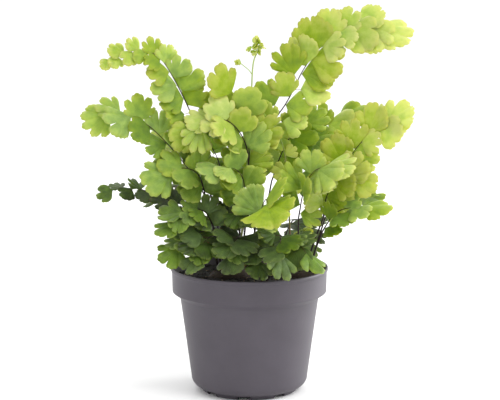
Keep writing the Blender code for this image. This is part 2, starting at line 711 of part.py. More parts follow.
def build():
    clear_scene()
    collection = new_collection("potted_fern")
    helpers = new_collection("cutters_and_joined_shapes", helper=True)
    plastic = new_material("plastic grey", PLASTIC_GREY)
    peat = new_material("peat brown", PEAT_BROWN)
    bark = new_material("crown brown", CROWN_BROWN)
    black = new_material("stalk black", STALK_BLACK)
    green = new_material("leaf green", LEAF_GREEN)
    pale = new_material("crozier green", CROZIER_GREEN)

    pot = make_pot(collection, helpers, plastic)
    crowns = {name: make_crown_shape(f"rhizome_{name}", name, 0, collection, bark) for name in CROWNS}
    soil = make_soil(crowns, collection, helpers, peat)

    crown_trees = {name: evaluated_tree(crown) for name, crown in crowns.items()}
    routes = frond_routes(crown_trees)
    croziers = {name: crozier_points(crown_trees, name) for name in CROZIERS}
    solids = [evaluated_tree(pot), evaluated_tree(soil)] + list(crown_trees.values())
    clearance = Clearance(solids, stem_samples(routes, croziers))

    for name, points in croziers.items():
        make_tube(name, points, CROZIER_RADIUS, 6, collection, pale)
    for seed, (name, (stalk, branches)) in enumerate(routes.items(), 1):
        make_stalk(name, stalk, collection, black)
        make_blade(name, 7 * seed, branches, FRONDS[name][3], clearance, collection, helpers, green)


build()
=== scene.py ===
"""The looks of the potted maidenhair fern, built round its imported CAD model.

Metres, +Z up. The fern's routes and its rule of growth are repeated from the CAD source, so that each fine
leaflet lies where its CAD plate is. A leaflet that would touch something bends less until it is clear.
"""

import math
import random

import bmesh
import bpy
from mathutils import Matrix, Vector, noise
from mathutils.bvhtree import BVHTree
from mathutils.kdtree import KDTree


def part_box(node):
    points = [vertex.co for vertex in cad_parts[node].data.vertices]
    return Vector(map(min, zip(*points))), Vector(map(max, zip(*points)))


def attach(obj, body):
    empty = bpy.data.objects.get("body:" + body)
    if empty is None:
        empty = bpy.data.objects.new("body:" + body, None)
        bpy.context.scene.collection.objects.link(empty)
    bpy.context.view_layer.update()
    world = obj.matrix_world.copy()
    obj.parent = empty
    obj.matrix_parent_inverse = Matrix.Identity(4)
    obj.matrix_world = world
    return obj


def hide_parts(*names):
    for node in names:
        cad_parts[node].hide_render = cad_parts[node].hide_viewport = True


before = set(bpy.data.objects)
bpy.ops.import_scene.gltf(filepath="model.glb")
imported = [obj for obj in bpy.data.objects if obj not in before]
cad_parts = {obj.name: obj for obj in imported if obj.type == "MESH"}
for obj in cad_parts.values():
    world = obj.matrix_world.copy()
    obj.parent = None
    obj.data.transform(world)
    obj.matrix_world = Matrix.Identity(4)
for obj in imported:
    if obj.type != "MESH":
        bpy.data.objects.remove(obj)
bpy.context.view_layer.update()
POT_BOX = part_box("pot")

MM = 0.001

# Pot, as in the CAD source
POT_HEIGHT = POT_BOX[1].z
RIM_RADIUS = POT_BOX[1].x
COLLAR_HEIGHT = 0.0185
COLLAR_STEP = 0.0060
SHOULDER_HEIGHT = 0.0045
SHOULDER_INSET = 0.0010
WALL_DRAFT = 0.0100
WALL = 0.0011
LIP_WIDTH = 0.0016
LIP_HEIGHT = 0.0022
LIP_BEVEL = 0.0004
LIP_ROUNDING = 0.0005
COLLAR_TAPER = 0.0011
FOOT_HEIGHT = 0.0030
FOOT_ROUNDING = 0.0080
FOOT_WIDTH = 0.0026
FEET = 8
FOOT_GAP_ANGLE = math.radians(15)
FOOT_GAP_START = math.radians(-96.5)
FOOT_GAP_SINK = 0.0004
DRAIN_HOLES = 8
DRAIN_HOLE_RADIUS = 0.004
DRAIN_CIRCLE_RADIUS = 0.026
COLLAR_FOOT = POT_HEIGHT - COLLAR_HEIGHT
SHOULDER_FOOT = COLLAR_FOOT - SHOULDER_HEIGHT
ROUNDING_TOP = FOOT_HEIGHT + FOOT_ROUNDING

# Soil, as in the CAD source
SOIL_BELOW_RIM = 0.0080
SOIL_MOUND = 0.0012
GAP = 0.0003

# Fern, as in the CAD source
LEAFLET_SCALE = 1.08
LEAFLET_THICKNESS = 0.0007
LEAFLET_CLEARANCE = 0.0005
STALK_RADIUS = 0.00085
AXIS_RADIUS = 0.00055
CROZIER_RADIUS = 0.00080
TUBE_STEP = 0.009

CROWNS = ("left", "right", "back")

# Every route is in mm from the middle of the soil's top: x, y and height.
# A frond has a crown, its foot on the crown (x, y), its bare stalk's points, and its branches. A branch
# has its own points after the fork, a number of leaflets, their width in mm, the last one's width as a
# share of that, the reach of the lowest one's stem in mm, and the way that the upper faces look: heading
# and height in degrees.
FRONDS = {
    "tall_left": ("left", (-17, 1), [(-22, -2, 28), (-30, -5, 66), (-37, -8, 100)], [
        ([(-45, -10, 128), (-63, -14, 163), (-76, -15, 172), (-91, -16, 172), (-105, -16, 165)],
         19, 18, 0.4, 4, (-82, 30)),
    ]),
    "mid_left": ("left", (-21, -1), [(-25, -5, 26), (-33, -10, 62)], [
        ([(-49, -13, 88), (-69, -15, 111), (-79, -16, 119), (-94, -17, 127), (-106, -17, 125)],
         12, 16, 1.25, 4, (-85, 34)),
        ([(-38, -18, 80), (-48, -24, 86), (-58, -27, 84)], 6, 17, 1.4, 4, (-80, 30)),
    ]),
    "low_left": ("left", (-24, -5), [(-26, -8, 18), (-38, -10, 44)], [
        ([(-60, -12, 59), (-75, -12, 66), (-90, -12, 69), (-104, -12, 67)], 10, 14, 0.8, 4, (-75, 52)),
    ]),
    "droop_left": ("left", (-19, -7), [(-21, -12, 18), (-26, -18, 38)], [
        ([(-34, -26, 54), (-46, -33, 54), (-57, -38, 47)], 9, 15, 1.0, 4, (-95, 45)),
        ([(-34, -24, 38), (-45, -31, 36), (-53, -36, 29)], 8, 16, 1.1, 4, (-100, 40)),
    ]),
    "back_left": ("left", (-16, 5), [(-18, 12, 30), (-19, 22, 60)], [
        ([(-24, 28, 84), (-33, 33, 97), (-46, 37, 101)], 8, 19, 1.0, 6, (-100, 45)),
    ]),
    "centre_arch": ("left", (-7, -4), [(-3, -6, 40), (0, -8, 80)], [
        ([(-3, -12, 103), (-14, -15, 119), (-27, -17, 121), (-42, -18, 112)], 11, 19, 1.0, 4, (-88, 35)),
        ([(-1, -5, 108), (-6, -6, 126), (-14, -8, 141)], 7, 20, 1.1, 5, (-85, 20)),
    ]),
    "tall_right": ("left", (-11, 2), [(-6, 3, 30), (3, 4, 75), (9, 5, 97)], [
        ([(17, 6, 115), (29, 7, 133), (43, 8, 160), (60, 8, 179), (80, 8, 190), (98, 7, 188)],
         20, 21, 1.2, 5, (-88, 30)),
    ]),
    "right": ("right", (43, 1), [(48, -2, 22), (56, -5, 45)], [
        ([(64, -7, 66), (74, -9, 89), (87, -10, 107), (102, -10, 118)], 12, 17, 1.35, 4, (-90, 32)),
        ([(58, -12, 62), (66, -17, 75), (77, -20, 77)], 7, 18, 1.1, 4, (-85, 35)),
    ]),
    "right_low": ("right", (46, -5), [(49, -9, 18), (55, -14, 36)], [
        ([(64, -20, 51), (75, -25, 56), (86, -27, 57)], 6, 16, 1.2, 4, (-80, 50)),
    ]),
    "right_back": ("back", (17, 27), [(21, 28, 30), (28, 30, 62)], [
        ([(39, 33, 88), (53, 36, 107), (70, 38, 116)], 8, 21, 1.0, 6, (-90, 40)),
    ]),
    "front_centre": ("left", (-2, -3), [(0, -11, 20), (5, -24, 42)], [
        ([(9, -38, 58), (12, -51, 67), (14, -62, 65)], 5, 17, 1.9, 5, (-90, 34)),
    ]),
    "young": ("right", (33, 2), [(31, 1, 30), (30, 0, 60)], [
        ([(27, 0, 91), (22, -1, 108), (9, -2, 127)], 6, 9, 0.8, 4, (-90, 15)),
    ]),
    "middle": ("back", (8, 21), [(10, 17, 30), (17, 14, 70)], [
        ([(24, 14, 90), (32, 16, 105), (43, 18, 114)], 7, 17, 1.0, 5, (-90, 35)),
    ]),
    "left_middle": ("left", (-8, -9), [(-8, -12, 25), (-6, -13, 52)], [
        ([(-4, -19, 74), (-11, -26, 86), (-22, -30, 87)], 7, 18, 1.0, 4, (-85, 35)),
    ]),
    "right_middle": ("right", (38, -5), [(37, -9, 22), (37, -13, 46)], [
        ([(41, -21, 70), (48, -27, 84), (58, -29, 88)], 8, 17, 1.2, 5, (-88, 35)),
    ]),
    "front_right": ("right", (34, -4), [(29, -15, 20), (25, -28, 32)], [
        ([(23, -42, 39), (23, -53, 36), (23, -60, 27)], 6, 18, 1.0, 5, (-90, 40)),
        ([(34, -40, 34), (42, -48, 26)], 4, 18, 1.0, 5, (-80, 50)),
    ]),
    "front_middle": ("left", (-12, -10), [(-10, -16, 18), (-6, -25, 32)], [
        ([(-8, -36, 37), (-11, -45, 33), (-13, -52, 25)], 7, 17, 0.9, 5, (-90, 45)),
        ([(1, -34, 33), (5, -43, 28), (6, -50, 21)], 6, 16, 1.0, 5, (-85, 45)),
    ]),
    "front_left": ("left", (-17, -10), [(-19, -16, 18), (-23, -25, 33)], [
        ([(-29, -34, 36), (-35, -41, 31), (-39, -46, 24)], 7, 16, 0.9, 5, (-100, 45)),
    ]),
    "inner_left": ("left", (-13, -4), [(-16, -7, 20), (-20, -12, 40)], [
        ([(-15, -20, 50), (-10, -27, 54), (-4, -35, 52)], 6, 15, 1.1, 4, (-85, 42)),
    ]),
    "side_left": ("left", (-24, 4), [(-28, 10, 22), (-34, 16, 42)], [
        ([(-46, 28, 58), (-58, 40, 62), (-68, 52, 54)], 8, 19, 1.0, 6, (140, 55)),
    ]),
    "side_right": ("right", (47, 5), [(52, 11, 22), (58, 18, 40)], [
        ([(68, 27, 54), (80, 37, 60), (90, 48, 54)], 8, 19, 1.0, 6, (45, 55)),
    ]),
    "back_middle": ("back", (6, 30), [(4, 37, 28), (-2, 45, 52)], [
        ([(-8, 52, 74), (-14, 62, 86), (-16, 71, 82), (-16, 77, 72)], 9, 19, 1.0, 5, (95, 45)),
    ]),
    "back_tall_left": ("back", (-1, 27), [(-8, 34, 28), (-18, 42, 56)], [
        ([(-30, 51, 80), (-44, 61, 94), (-60, 69, 94)], 9, 21, 1.0, 5, (125, 45)),
    ]),
    "back_tall_right": ("back", (15, 31), [(22, 38, 30), (32, 47, 58)], [
        ([(44, 55, 80), (58, 63, 91), (74, 70, 88)], 9, 21, 1.0, 5, (60, 45)),
    ]),
    "back_low_left": ("back", (-4, 23), [(-11, 30, 18), (-18, 38, 30)], [
        ([(-26, 49, 35), (-33, 60, 28), (-37, 68, 16)], 7, 19, 1.0, 5, (115, 45)),
    ]),
    "back_low_right": ("back", (21, 24), [(26, 32, 18), (31, 41, 30)], [
        ([(36, 52, 34), (41, 62, 27), (44, 69, 15)], 7, 19, 1.0, 5, (70, 45)),
    ]),
}

# A crozier has a crown, a foot, its points up to the coil, the coil's radius in mm and its turning side
CROZIERS = {
    "crozier_tall": ("left", (-7, 1), [(-4, 0, 66), (0, -1, 100), (2, -2, 150), (3, -2, 163), (7, -2, 173)],
                     2.8, -1),
    "crozier_small": ("right", (40, 6), [(41, 8, 14), (43, 9, 30)], 3.0, -1),
}

COIL_TURNS = 1.2
COIL_STEPS = 11
COIL_CLOSING = 0.52

# The leaflet is drawn 1 wide: x across, y outwards from the end of its stem
FAN_HEIGHT = 0.84
FAN_OUTLINE = [(0.50, 0.45), (0.30, FAN_HEIGHT), (-0.30, FAN_HEIGHT), (-0.50, 0.45)]
STEM_WIDTH = 0.0009
SHORT_STEM = 0.0055
BOTTOM_ANGLE = 62
TOP_ANGLE = 38
DROOP = 0.28
TRIES = [(14, 0), (20, 6), (8, -6), (14, 18), (14, -18), (26, 0), (0, 0), (26, 16), (26, -16), (-12, 0),
         (36, 10), (36, -10), (-24, 0), (14, 32), (14, -32), (46, 0), (-36, 0), (48, 22), (48, -22),
         (62, 0), (-50, 0), (30, 46), (30, -46), (-30, 46), (-30, -46), (76, 20), (76, -20)]
SHRINKS = (1.0, 0.88, 0.76, 0.64, 0.54, 0.44, 0.34, 0.25, 0.18)

STEM_SAMPLE = 0.0006
LOWEST_SHARE = 0.08
TOP_SHARE = 0.98

# Looks: the fine leaflet
LEAF_RAYS = 61
LEAF_RINGS = (0.10, 0.28, 0.48, 0.68, 0.85, 1.0)
LEAF_SHEET = 0.00022
LEAF_LENGTH = 0.88
TOOTH_DEPTH = 0.05
BENDS = ((1.0, 1.14), (0.7, 1.10), (1.0, 1.0), (0.6, 1.0), (0.3, 1.0), (0.1, 0.96))
STEM_SHARE = 0.15
FAN_GROWTH = 0.55
PETIOLULE_RADIUS = 0.00020

# How young each frond is, with painted shade: 0 is old and dark green, 1 is new and pale. The value is partly
# age and partly painted shade: the low fronds near the soil are set low, so that they are painted dark green
# where shade falls
YOUTH_AND_SHADE = {
    "tall_left": 0.68, "mid_left": 0.52, "low_left": 0.16, "droop_left": 0.34, "back_left": 0.50,
    "centre_arch": 0.72, "tall_right": 0.78, "right": 0.78, "right_low": 0.58, "right_back": 0.62,
    "front_centre": 0.64, "young": 0.98, "middle": 0.60, "left_middle": 0.55, "right_middle": 0.66,
    "front_right": 0.22, "front_middle": 0.12, "front_left": 0.14, "side_left": 0.22, "side_right": 0.50,
    "back_middle": 0.52, "back_tall_left": 0.60, "back_tall_right": 0.58, "back_low_left": 0.12,
    "back_low_right": 0.16, "inner_left": 0.12,
}

# Looks: pot, peat and root stocks
POT_SECTORS = 144
WALL_STEPS = 6
FOOT_BEVEL = 0.0005
PEAT_SECTORS = 150
PEAT_RINGS = 56
PEAT_DIP = 0.0007
CLOD_HEIGHT = 0.0011
GRAIN_HEIGHT = 0.0003
EDGE_DROP = 0.0012
CRUMBS = 620
PALE_CRUMBS = 0.20
FIBRES = 90
FIBRE_POINTS = 7
SCALES = 150

# Stage: each light has a place, an aim, a size and a power
LIGHTS = {
    "key": ((1.0, -0.8, 1.5), (0, 0, 0.18), 0.8, 14),
    "side": ((1.5, 0.55, 0.35), (0, 0, 0.08), 0.7, 22),
    "back": ((-0.4, 1.4, 1.3), (0, 0, 0.18), 1.0, 7),
}
WORLD_STRENGTH = 1.12
FLOOR_SIZE = 40
VIEW_TARGET = Vector((0, 0, 0.147))
VIEW_ELEVATION = math.radians(9.65)
VIEW_DISTANCE = 1.5
VIEW_WIDTH = 0.37975
VIEW_SHIFT = 0.0012
SENSOR = 36


# Pot's lines

def polar(radius, angle):
    return radius * math.cos(angle), radius * math.sin(angle)


def arc(centre, radius, start, end, steps):
    """(radius, height) points on an arc, from one angle to another in degrees."""
    angles = [math.radians(start + (end - start) * i / steps) for i in range(steps + 1)]
    return [(centre[0] + radius * math.cos(a), centre[1] + radius * math.sin(a)) for a in angles]


def wall_radius(z):
    """The pot's outer radius at a height under its shoulder."""
    return RIM_RADIUS - COLLAR_STEP - SHOULDER_INSET - WALL_DRAFT * (1 - z / SHOULDER_FOOT)


def foot_radius():
    """The foot ring's outer radius, where the rounding under the wall ends."""
    return wall_radius(ROUNDING_TOP) - FOOT_ROUNDING


def rounding(radius, start, end, steps):
    """(radius, height) points on the rounding under the wall, from one angle to another in degrees."""
    return arc((foot_radius(), ROUNDING_TOP), radius, start, end, steps)


def inner_profile():
    """(radius, height) up the inner side, from the floor's edge to the lip, as in the CAD source."""
    return rounding(FOOT_ROUNDING - WALL, -90, 0, 3) + [
        (wall_radius(SHOULDER_FOOT) - WALL, SHOULDER_FOOT + 0.3 * WALL),
        (RIM_RADIUS - COLLAR_TAPER - 1.3 * WALL, COLLAR_FOOT + 0.3 * WALL),
        (RIM_RADIUS - LIP_WIDTH, POT_HEIGHT - LIP_HEIGHT),
        (RIM_RADIUS - LIP_WIDTH, POT_HEIGHT - LIP_BEVEL),
        (RIM_RADIUS - LIP_WIDTH + LIP_BEVEL, POT_HEIGHT),
    ]


def floor_top():
    return inner_profile()[0][1]


def inner_radius(z):
    """The pot's inner radius at a height, read off its inner profile."""
    profile = inner_profile()
    for (r0, z0), (r1, z1) in zip(profile, profile[1:]):
        if z0 <= z <= z1:
            return r0 + (r1 - r0) * (z - z0) / (z1 - z0)
    return profile[-1][0]


def soil_edge_height():
    return POT_HEIGHT - SOIL_BELOW_RIM


def soil_height(x, y):
    """The soil's top, a low mound."""
    share = min(1.0, math.hypot(x, y) / inner_radius(soil_edge_height()))
    return soil_edge_height() + SOIL_MOUND * (1 - share ** 2)


# Routes

def placed(point):
    """A point in mm above the soil's middle, brought to metres above the floor."""
    x, y, z = point
    return Vector((x * MM, y * MM, soil_height(0, 0) + z * MM))


def foot_on(tree, foot, next_point):
    """Where a stalk stands on its crown, just so high that its tilted end is clear of the slope."""
    point = placed((*foot, 0))
    hit, normal, *_ = tree.ray_cast(point + Vector((0, 0, 0.05)), Vector((0, 0, -1)))
    slope = math.hypot(normal.x, normal.y) / normal.z
    rise = placed(next_point) - hit
    tilt = math.hypot(rise.x, rise.y) / rise.z
    return hit + Vector((0, 0, 2 * GAP + STALK_RADIUS * (slope + tilt)))


def smooth_route(points, step):
    """Evenly spread points on a Catmull-Rom curve through the given ones."""
    ends = [2 * points[0] - points[1]] + points + [2 * points[-1] - points[-2]]
    dense = [points[0]]
    for p0, p1, p2, p3 in zip(ends, ends[1:], ends[2:], ends[3:]):
        for i in range(1, 13):
            t = i / 12
            dense.append(0.5 * (2 * p1 + (p2 - p0) * t + (2 * p0 - 5 * p1 + 4 * p2 - p3) * t ** 2
                                + (3 * p1 - p0 - 3 * p2 + p3) * t ** 3))
    lengths = [0.0]
    for a, b in zip(dense, dense[1:]):
        lengths.append(lengths[-1] + (b - a).length)
    count = max(2, round(lengths[-1] / step))
    return [point_at(dense, lengths, lengths[-1] * i / count) for i in range(count + 1)]


def point_at(points, lengths, distance):
    for i in range(1, len(points)):
        if lengths[i] >= distance or i == len(points) - 1:
            share = (distance - lengths[i - 1]) / max(1e-9, lengths[i] - lengths[i - 1])
            return points[i - 1].lerp(points[i], min(1.0, share))


class Route:
    """A smooth line that can be asked for a point and a direction at a share of its length."""

    def __init__(self, points):
        self.points = smooth_route(points, TUBE_STEP)

    def at(self, share):
        place = share * (len(self.points) - 1)
        index = min(int(place), len(self.points) - 2)
        return self.points[index].lerp(self.points[index + 1], place - index)

    def direction(self, share):
        return (self.at(min(1.0, share + 0.06)) - self.at(max(0.0, share - 0.06))).normalized()

    def samples(self):
        """Points close together along the line."""
        found = []
        for a, b in zip(self.points, self.points[1:]):
            count = math.ceil((b - a).length / STEM_SAMPLE)
            found += [a.lerp(b, i / count) for i in range(count)]
        return found + [self.points[-1]]


# Leaflets

def leaflet_plate(frame_at, width, reach, thickness):
    """The placed fan with its thin stem as a flat closed plate: points, and faces by point number."""
    half_stem = STEM_WIDTH / 2
    outline = [(x * width, y * width) for x, y in FAN_OUTLINE]
    if reach > SHORT_STEM:
        outline = [(half_stem, 0)] + outline + [(-half_stem, 0)]
    outline = [(half_stem, -reach)] + outline + [(-half_stem, -reach)]
    count = len(outline)
    points = [frame_at @ Vector((x, y + reach, side * thickness / 2))
              for side in (1, -1) for x, y in outline]
    faces = [tuple(range(count)), tuple(range(2 * count - 1, count - 1, -1))]
    faces += [(i, i + count, (i + 1) % count + count, (i + 1) % count) for i in range(count)]
    return points, faces


def facing(degrees):
    """The direction with a heading and a height in degrees."""
    heading, height = (math.radians(angle) for angle in degrees)
    return math.cos(height) * Vector((*polar(1, heading), 0)) + Vector((0, 0, math.sin(height)))


def leaflet_frame(base, axis, normal, lift, twist):
    """Where a leaflet stands: y along its axis, z out of its upper face, turned by lift and twist."""
    axis = axis.normalized()
    across = axis.cross(normal).normalized()
    normal = across.cross(axis)
    turn = Matrix.Rotation(math.radians(lift), 3, across) @ Matrix.Rotation(math.radians(twist), 3, axis)
    columns = Matrix((across, axis, normal)).transposed()
    return Matrix.Translation(base) @ (turn @ columns).to_4x4()


def wander(*keys):
    """A repeatable number from -1 to 1 for a leaflet's small differences."""
    value = math.sin(sum((i + 1) * 12.9898 * key for i, key in enumerate(keys))) * 43758.5453
    return 2 * (value - math.floor(value)) - 1


def planned_leaflets(route, count, width, tip, reach, face, seed):
    """For each leaflet on a branch: base, axis, normal, width and stem reach."""
    upper = facing(face)
    plans = []
    for i in range(count):
        share = LOWEST_SHARE + (TOP_SHARE - LOWEST_SHARE) * i / (count - 1)
        last = i == count - 1
        along = route.direction(share)
        normal = (upper - upper.dot(along) * along).normalized()
        sideways = along.cross(normal) * (-1 if i % 2 else 1)
        spread = BOTTOM_ANGLE + (TOP_ANGLE - BOTTOM_ANGLE) * share + 9 * wander(seed, i)
        angle = 0 if last else math.radians(spread)
        axis = along * math.cos(angle) + sideways * math.sin(angle) + Vector((0, 0, -DROOP))
        grown = (0.88 + 0.2 * math.sin(math.pi * share)) * (1 + (tip - 1) * share ** 2)
        grown *= 1 + 0.20 * wander(i, seed)
        size = LEAFLET_SCALE * width * MM * (tip if last else grown)
        stem = reach * MM * (1 - 0.75 * share) * (1.0 if (i // 2) % 2 else 0.6) + 0.0022
        turned_away = Vector((wander(seed, i, 1), wander(seed, i, 2), 0))
        tilt = (upper + 0.25 * sideways + 0.16 * turned_away).normalized()
        plans.append((route.at(share), axis, tilt, size, stem))
    return plans


def ball_round(frame_at, width, reach):
    """The centre and radius of a ball round a leaflet."""
    return frame_at @ Vector((0, reach + 0.45 * width, 0)), 0.75 * width + reach


class Clearance:
    """Everything that a leaflet must stay clear of."""

    def __init__(self, solid_trees, stem_samples):
        self.solids = solid_trees
        self.plates = []
        self.owners = [owner for owner, _, _ in stem_samples]
        self.radii = [radius for _, radius, _ in stem_samples]
        self.stems = KDTree(len(stem_samples))
        for index, (_, _, point) in enumerate(stem_samples):
            self.stems.insert(point, index)
        self.stems.balance()

    def blocked(self, frame_at, width, reach, owner):
        """True if the leaflet's plate, with room round it, touches anything."""
        room = LEAFLET_THICKNESS + 2 * LEAFLET_CLEARANCE
        points, faces = leaflet_plate(frame_at, width + LEAFLET_CLEARANCE, reach, room)
        ball = ball_round(frame_at, width, reach)
        return self.touched(BVHTree.FromPolygons(points, faces), points, ball, owner)

    def touched(self, tree, points, ball, owner):
        """True if a surface inside the ball touches anything but its owner's own stem."""
        if any(self.under_soil(point) for point in points):
            return True
        if any(tree.overlap(solid) for solid in self.solids):
            return True
        centre, bound = ball
        if any((centre - other).length < bound + other_bound and tree.overlap(other_tree)
               for (other, other_bound), other_tree in self.plates):
            return True
        for point, index, _ in self.stems.find_range(centre, bound + STALK_RADIUS):
            if self.owners[index] != owner and tree.find_nearest(point, self.radii[index])[0] is not None:
                return True
        return False

    def under_soil(self, point):
        if math.hypot(point.x, point.y) > inner_radius(soil_edge_height()):
            return point.z < LEAFLET_CLEARANCE
        return point.z < soil_height(point.x, point.y) + LEAFLET_CLEARANCE

    def add(self, *leaflet):
        """Takes in a leaflet's frame, width and reach, and returns them."""
        plate = BVHTree.FromPolygons(*leaflet_plate(*leaflet, LEAFLET_THICKNESS))
        self.plates.append((ball_round(*leaflet), plate))
        return leaflet


def grow_leaflet(plan, clearance, owner):
    """The leaflet's frame, width and reach, turned and then made smaller until it is clear."""
    base, axis, normal, width, reach = plan
    for shrink in SHRINKS:
        for lift, twist in TRIES:
            frame_at = leaflet_frame(base, axis, normal, lift, twist)
            if not clearance.blocked(frame_at, width * shrink, reach, owner):
                return clearance.add(frame_at, width * shrink, reach)
    return clearance.add(frame_at, width * shrink, reach)


# Fern

def frond_routes(crown_trees):
    """For each frond, its stalk's route and its branches' routes."""
    routes = {}
    for name, (crown, foot, stalk, branches) in FRONDS.items():
        base = foot_on(crown_trees[crown], foot, stalk[0])
        stalk_points = [base] + [placed(point) for point in stalk]
        fork = stalk_points[-1:]
        limbs = [Route(fork + [placed(point) for point in branch[0]]) for branch in branches]
        routes[name] = (Route(stalk_points), limbs)
    return routes


def crozier_points(crown_trees, name):
    """A crozier's line: up its route, then round in a closing coil."""
    crown, foot, points, coil, side = CROZIERS[name]
    points = [foot_on(crown_trees[crown], foot, points[0])] + [placed(point) for point in points]
    stem = smooth_route(points, TUBE_STEP)
    forward = (stem[-1] - stem[-2]).normalized()
    across = Vector((side, 0, 0))
    across = (across - across.dot(forward) * forward).normalized()
    radius = coil * MM
    centre = stem[-1] + across * radius
    for i in range(1, COIL_STEPS + 1):
        angle = math.tau * COIL_TURNS * i / COIL_STEPS
        closing = radius * (1 - COIL_CLOSING * i / COIL_STEPS)
        stem.append(centre + closing * (math.sin(angle) * forward - math.cos(angle) * across))
    return stem


def stem_samples(routes, croziers):
    samples = []
    for name, (stalk, branches) in routes.items():
        samples += [(name + "_stalk", STALK_RADIUS, point) for point in stalk.samples()]
        for index, branch in enumerate(branches):
            samples += [(f"{name}_{index}", AXIS_RADIUS, point) for point in branch.samples()]
    for name, points in croziers.items():
        samples += [(name, CROZIER_RADIUS, point) for point in smooth_route(points, STEM_SAMPLE)]
    return samples


# Meshes

class Shape:
    """Points, faces and numbers for each point, gathered from several parts before they become one mesh."""

    def __init__(self, *layers):
        self.points = []
        self.faces = []
        self.layers = {name: [] for name in layers}

    def add(self, part, **values):
        """Adds a part's (points, faces). A layer's value is one number, or a list with one for each point."""
        points, faces = part
        first = len(self.points)
        self.points += points
        self.faces += [tuple(first + i for i in face) for face in faces]
        for name, layer in self.layers.items():
            value = values[name]
            layer += value if isinstance(value, list) else [value] * len(points)

    def made(self, name, material):
        """The mesh object, which rides on the part's only body."""
        mesh = bpy.data.meshes.new(name)
        mesh.from_pydata(self.points, [], self.faces)
        for layer, values in self.layers.items():
            mesh.attributes.new(layer, "FLOAT", "POINT").data.foreach_set("value", values)
        mesh.shade_smooth()
        mesh.materials.append(material)
        obj = bpy.data.objects.new(name, mesh)
        bpy.context.scene.collection.objects.link(obj)
        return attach(obj, "root")


def tube(points, radii, sides=8):
    """A closed round tube along points, with its own radius at each."""
    surface = []
    faces = []
    last = len(points) - 1
    side = (points[1] - points[0]).orthogonal().normalized()
    for i, point in enumerate(points):
        along = (points[min(i + 1, last)] - points[max(i - 1, 0)]).normalized()
        side = (side - side.dot(along) * along).normalized()
        across = along.cross(side)
        for j in range(sides):
            angle = math.tau * j / sides
            surface.append(point + radii[i] * (math.cos(angle) * side + math.sin(angle) * across))
    for i in range(last):
        for j in range(sides):
            k = (j + 1) % sides
            faces.append((i * sides + j, i * sides + k, (i + 1) * sides + k, (i + 1) * sides + j))
    faces.append(tuple(reversed(range(sides))))
    faces.append(tuple(range(last * sides, len(surface))))
    return surface, faces


def add_rod(shape, points, radii, sides, tones):
    """Adds a tube with its own tone at each of its points."""
    shape.add(tube(points, radii, sides), tone=[tone for tone in tones for _ in range(sides)])


def lathe(profile, sectors):
    """A closed turned surface: (radius, height) from the top's middle round to the bottom's middle."""
    points = [Vector((0, 0, profile[0][1]))]
    faces = []
    for radius, height in profile[1:-1]:
        for j in range(sectors):
            points.append(Vector((*polar(radius, math.tau * j / sectors), height)))
    points.append(Vector((0, 0, profile[-1][1])))
    rings = len(profile) - 2
    for j in range(sectors):
        k = (j + 1) % sectors
        faces.append((0, 1 + j, 1 + k))
        for i in range(rings - 1):
            faces.append((1 + i * sectors + k, 1 + i * sectors + j,
                          1 + (i + 1) * sectors + j, 1 + (i + 1) * sectors + k))
        faces.append((len(points) - 1, 1 + (rings - 1) * sectors + k, 1 + (rings - 1) * sectors + j))
    return points, faces


def lump(centre, sizes, turn, roughness, seed):
    """A small rough lump: (points, faces)."""
    bm = bmesh.new()
    bmesh.ops.create_icosphere(bm, subdivisions=2, radius=1)
    placing = Matrix.Translation(centre) @ turn.to_matrix().to_4x4() @ Matrix.Diagonal((*sizes, 1))
    offset = Vector((seed * 3.7, seed * 1.3, 0))
    points = [placing @ (v.co * (1 + roughness * noise.noise(1.6 * v.co + offset))) for v in bm.verts]
    faces = [tuple(v.index for v in face.verts) for face in bm.faces]
    bm.free()
    return points, faces


def cut(obj, cutters):
    """Takes the cutters out of the object and removes them."""
    for cutter in cutters:
        modifier = obj.modifiers.new("cut", "BOOLEAN")
        modifier.operation = "DIFFERENCE"
        modifier.object = cutter
        modifier.solver = "EXACT"
    bpy.context.view_layer.update()
    mesh = bpy.data.meshes.new_from_object(obj.evaluated_get(bpy.context.evaluated_depsgraph_get()))
    obj.modifiers.clear()
    obj.data = mesh
    for cutter in cutters:
        bpy.data.objects.remove(cutter, do_unlink=True)


# Pot's piece

def pot_surface_profile():
    """(radius, height) from the floor's middle, up the inner side, over the lip and down to the foot."""
    inner = [(share * inner_profile()[0][0], floor_top()) for share in (0, 0.3, 0.6, 0.9)]
    inner += rounding(FOOT_ROUNDING - WALL, -90, 0, 8)
    inner += inner_profile()[4:-2]
    lip_radius = LIP_WIDTH / 2
    lip = arc((RIM_RADIUS - lip_radius, POT_HEIGHT - lip_radius), lip_radius, 180, 0, 8)
    outer = [(RIM_RADIUS, POT_HEIGHT - LIP_HEIGHT)]
    outer += arc((RIM_RADIUS - LIP_ROUNDING, POT_HEIGHT - LIP_HEIGHT), LIP_ROUNDING, -30, -90, 2)
    outer += [(RIM_RADIUS - 0.0008, POT_HEIGHT - LIP_HEIGHT - 0.0022)]
    outer += [(RIM_RADIUS - COLLAR_TAPER, COLLAR_FOOT + 0.0006)]
    outer += arc((RIM_RADIUS - COLLAR_TAPER - 0.0010, COLLAR_FOOT + 0.0002), 0.0010, 0, -50, 3)
    outer += [(wall_radius(SHOULDER_FOOT) + 0.0006, SHOULDER_FOOT + 0.0006)]
    outer += [(wall_radius(SHOULDER_FOOT), SHOULDER_FOOT - 0.0006)]
    for i in range(1, WALL_STEPS):
        z = SHOULDER_FOOT + (ROUNDING_TOP - SHOULDER_FOOT) * i / WALL_STEPS
        outer.append((wall_radius(z), z))
    outer += rounding(FOOT_ROUNDING, 0, -90, 10)[:-1]
    ring_outer = foot_radius()
    ring_inner = ring_outer - FOOT_WIDTH
    foot = [(ring_outer, FOOT_BEVEL), (ring_outer - FOOT_BEVEL, 0), (ring_inner + FOOT_BEVEL, 0),
            (ring_inner, FOOT_BEVEL), (ring_inner, FOOT_HEIGHT), (0, FOOT_HEIGHT)]
    return inner + lip + outer + foot


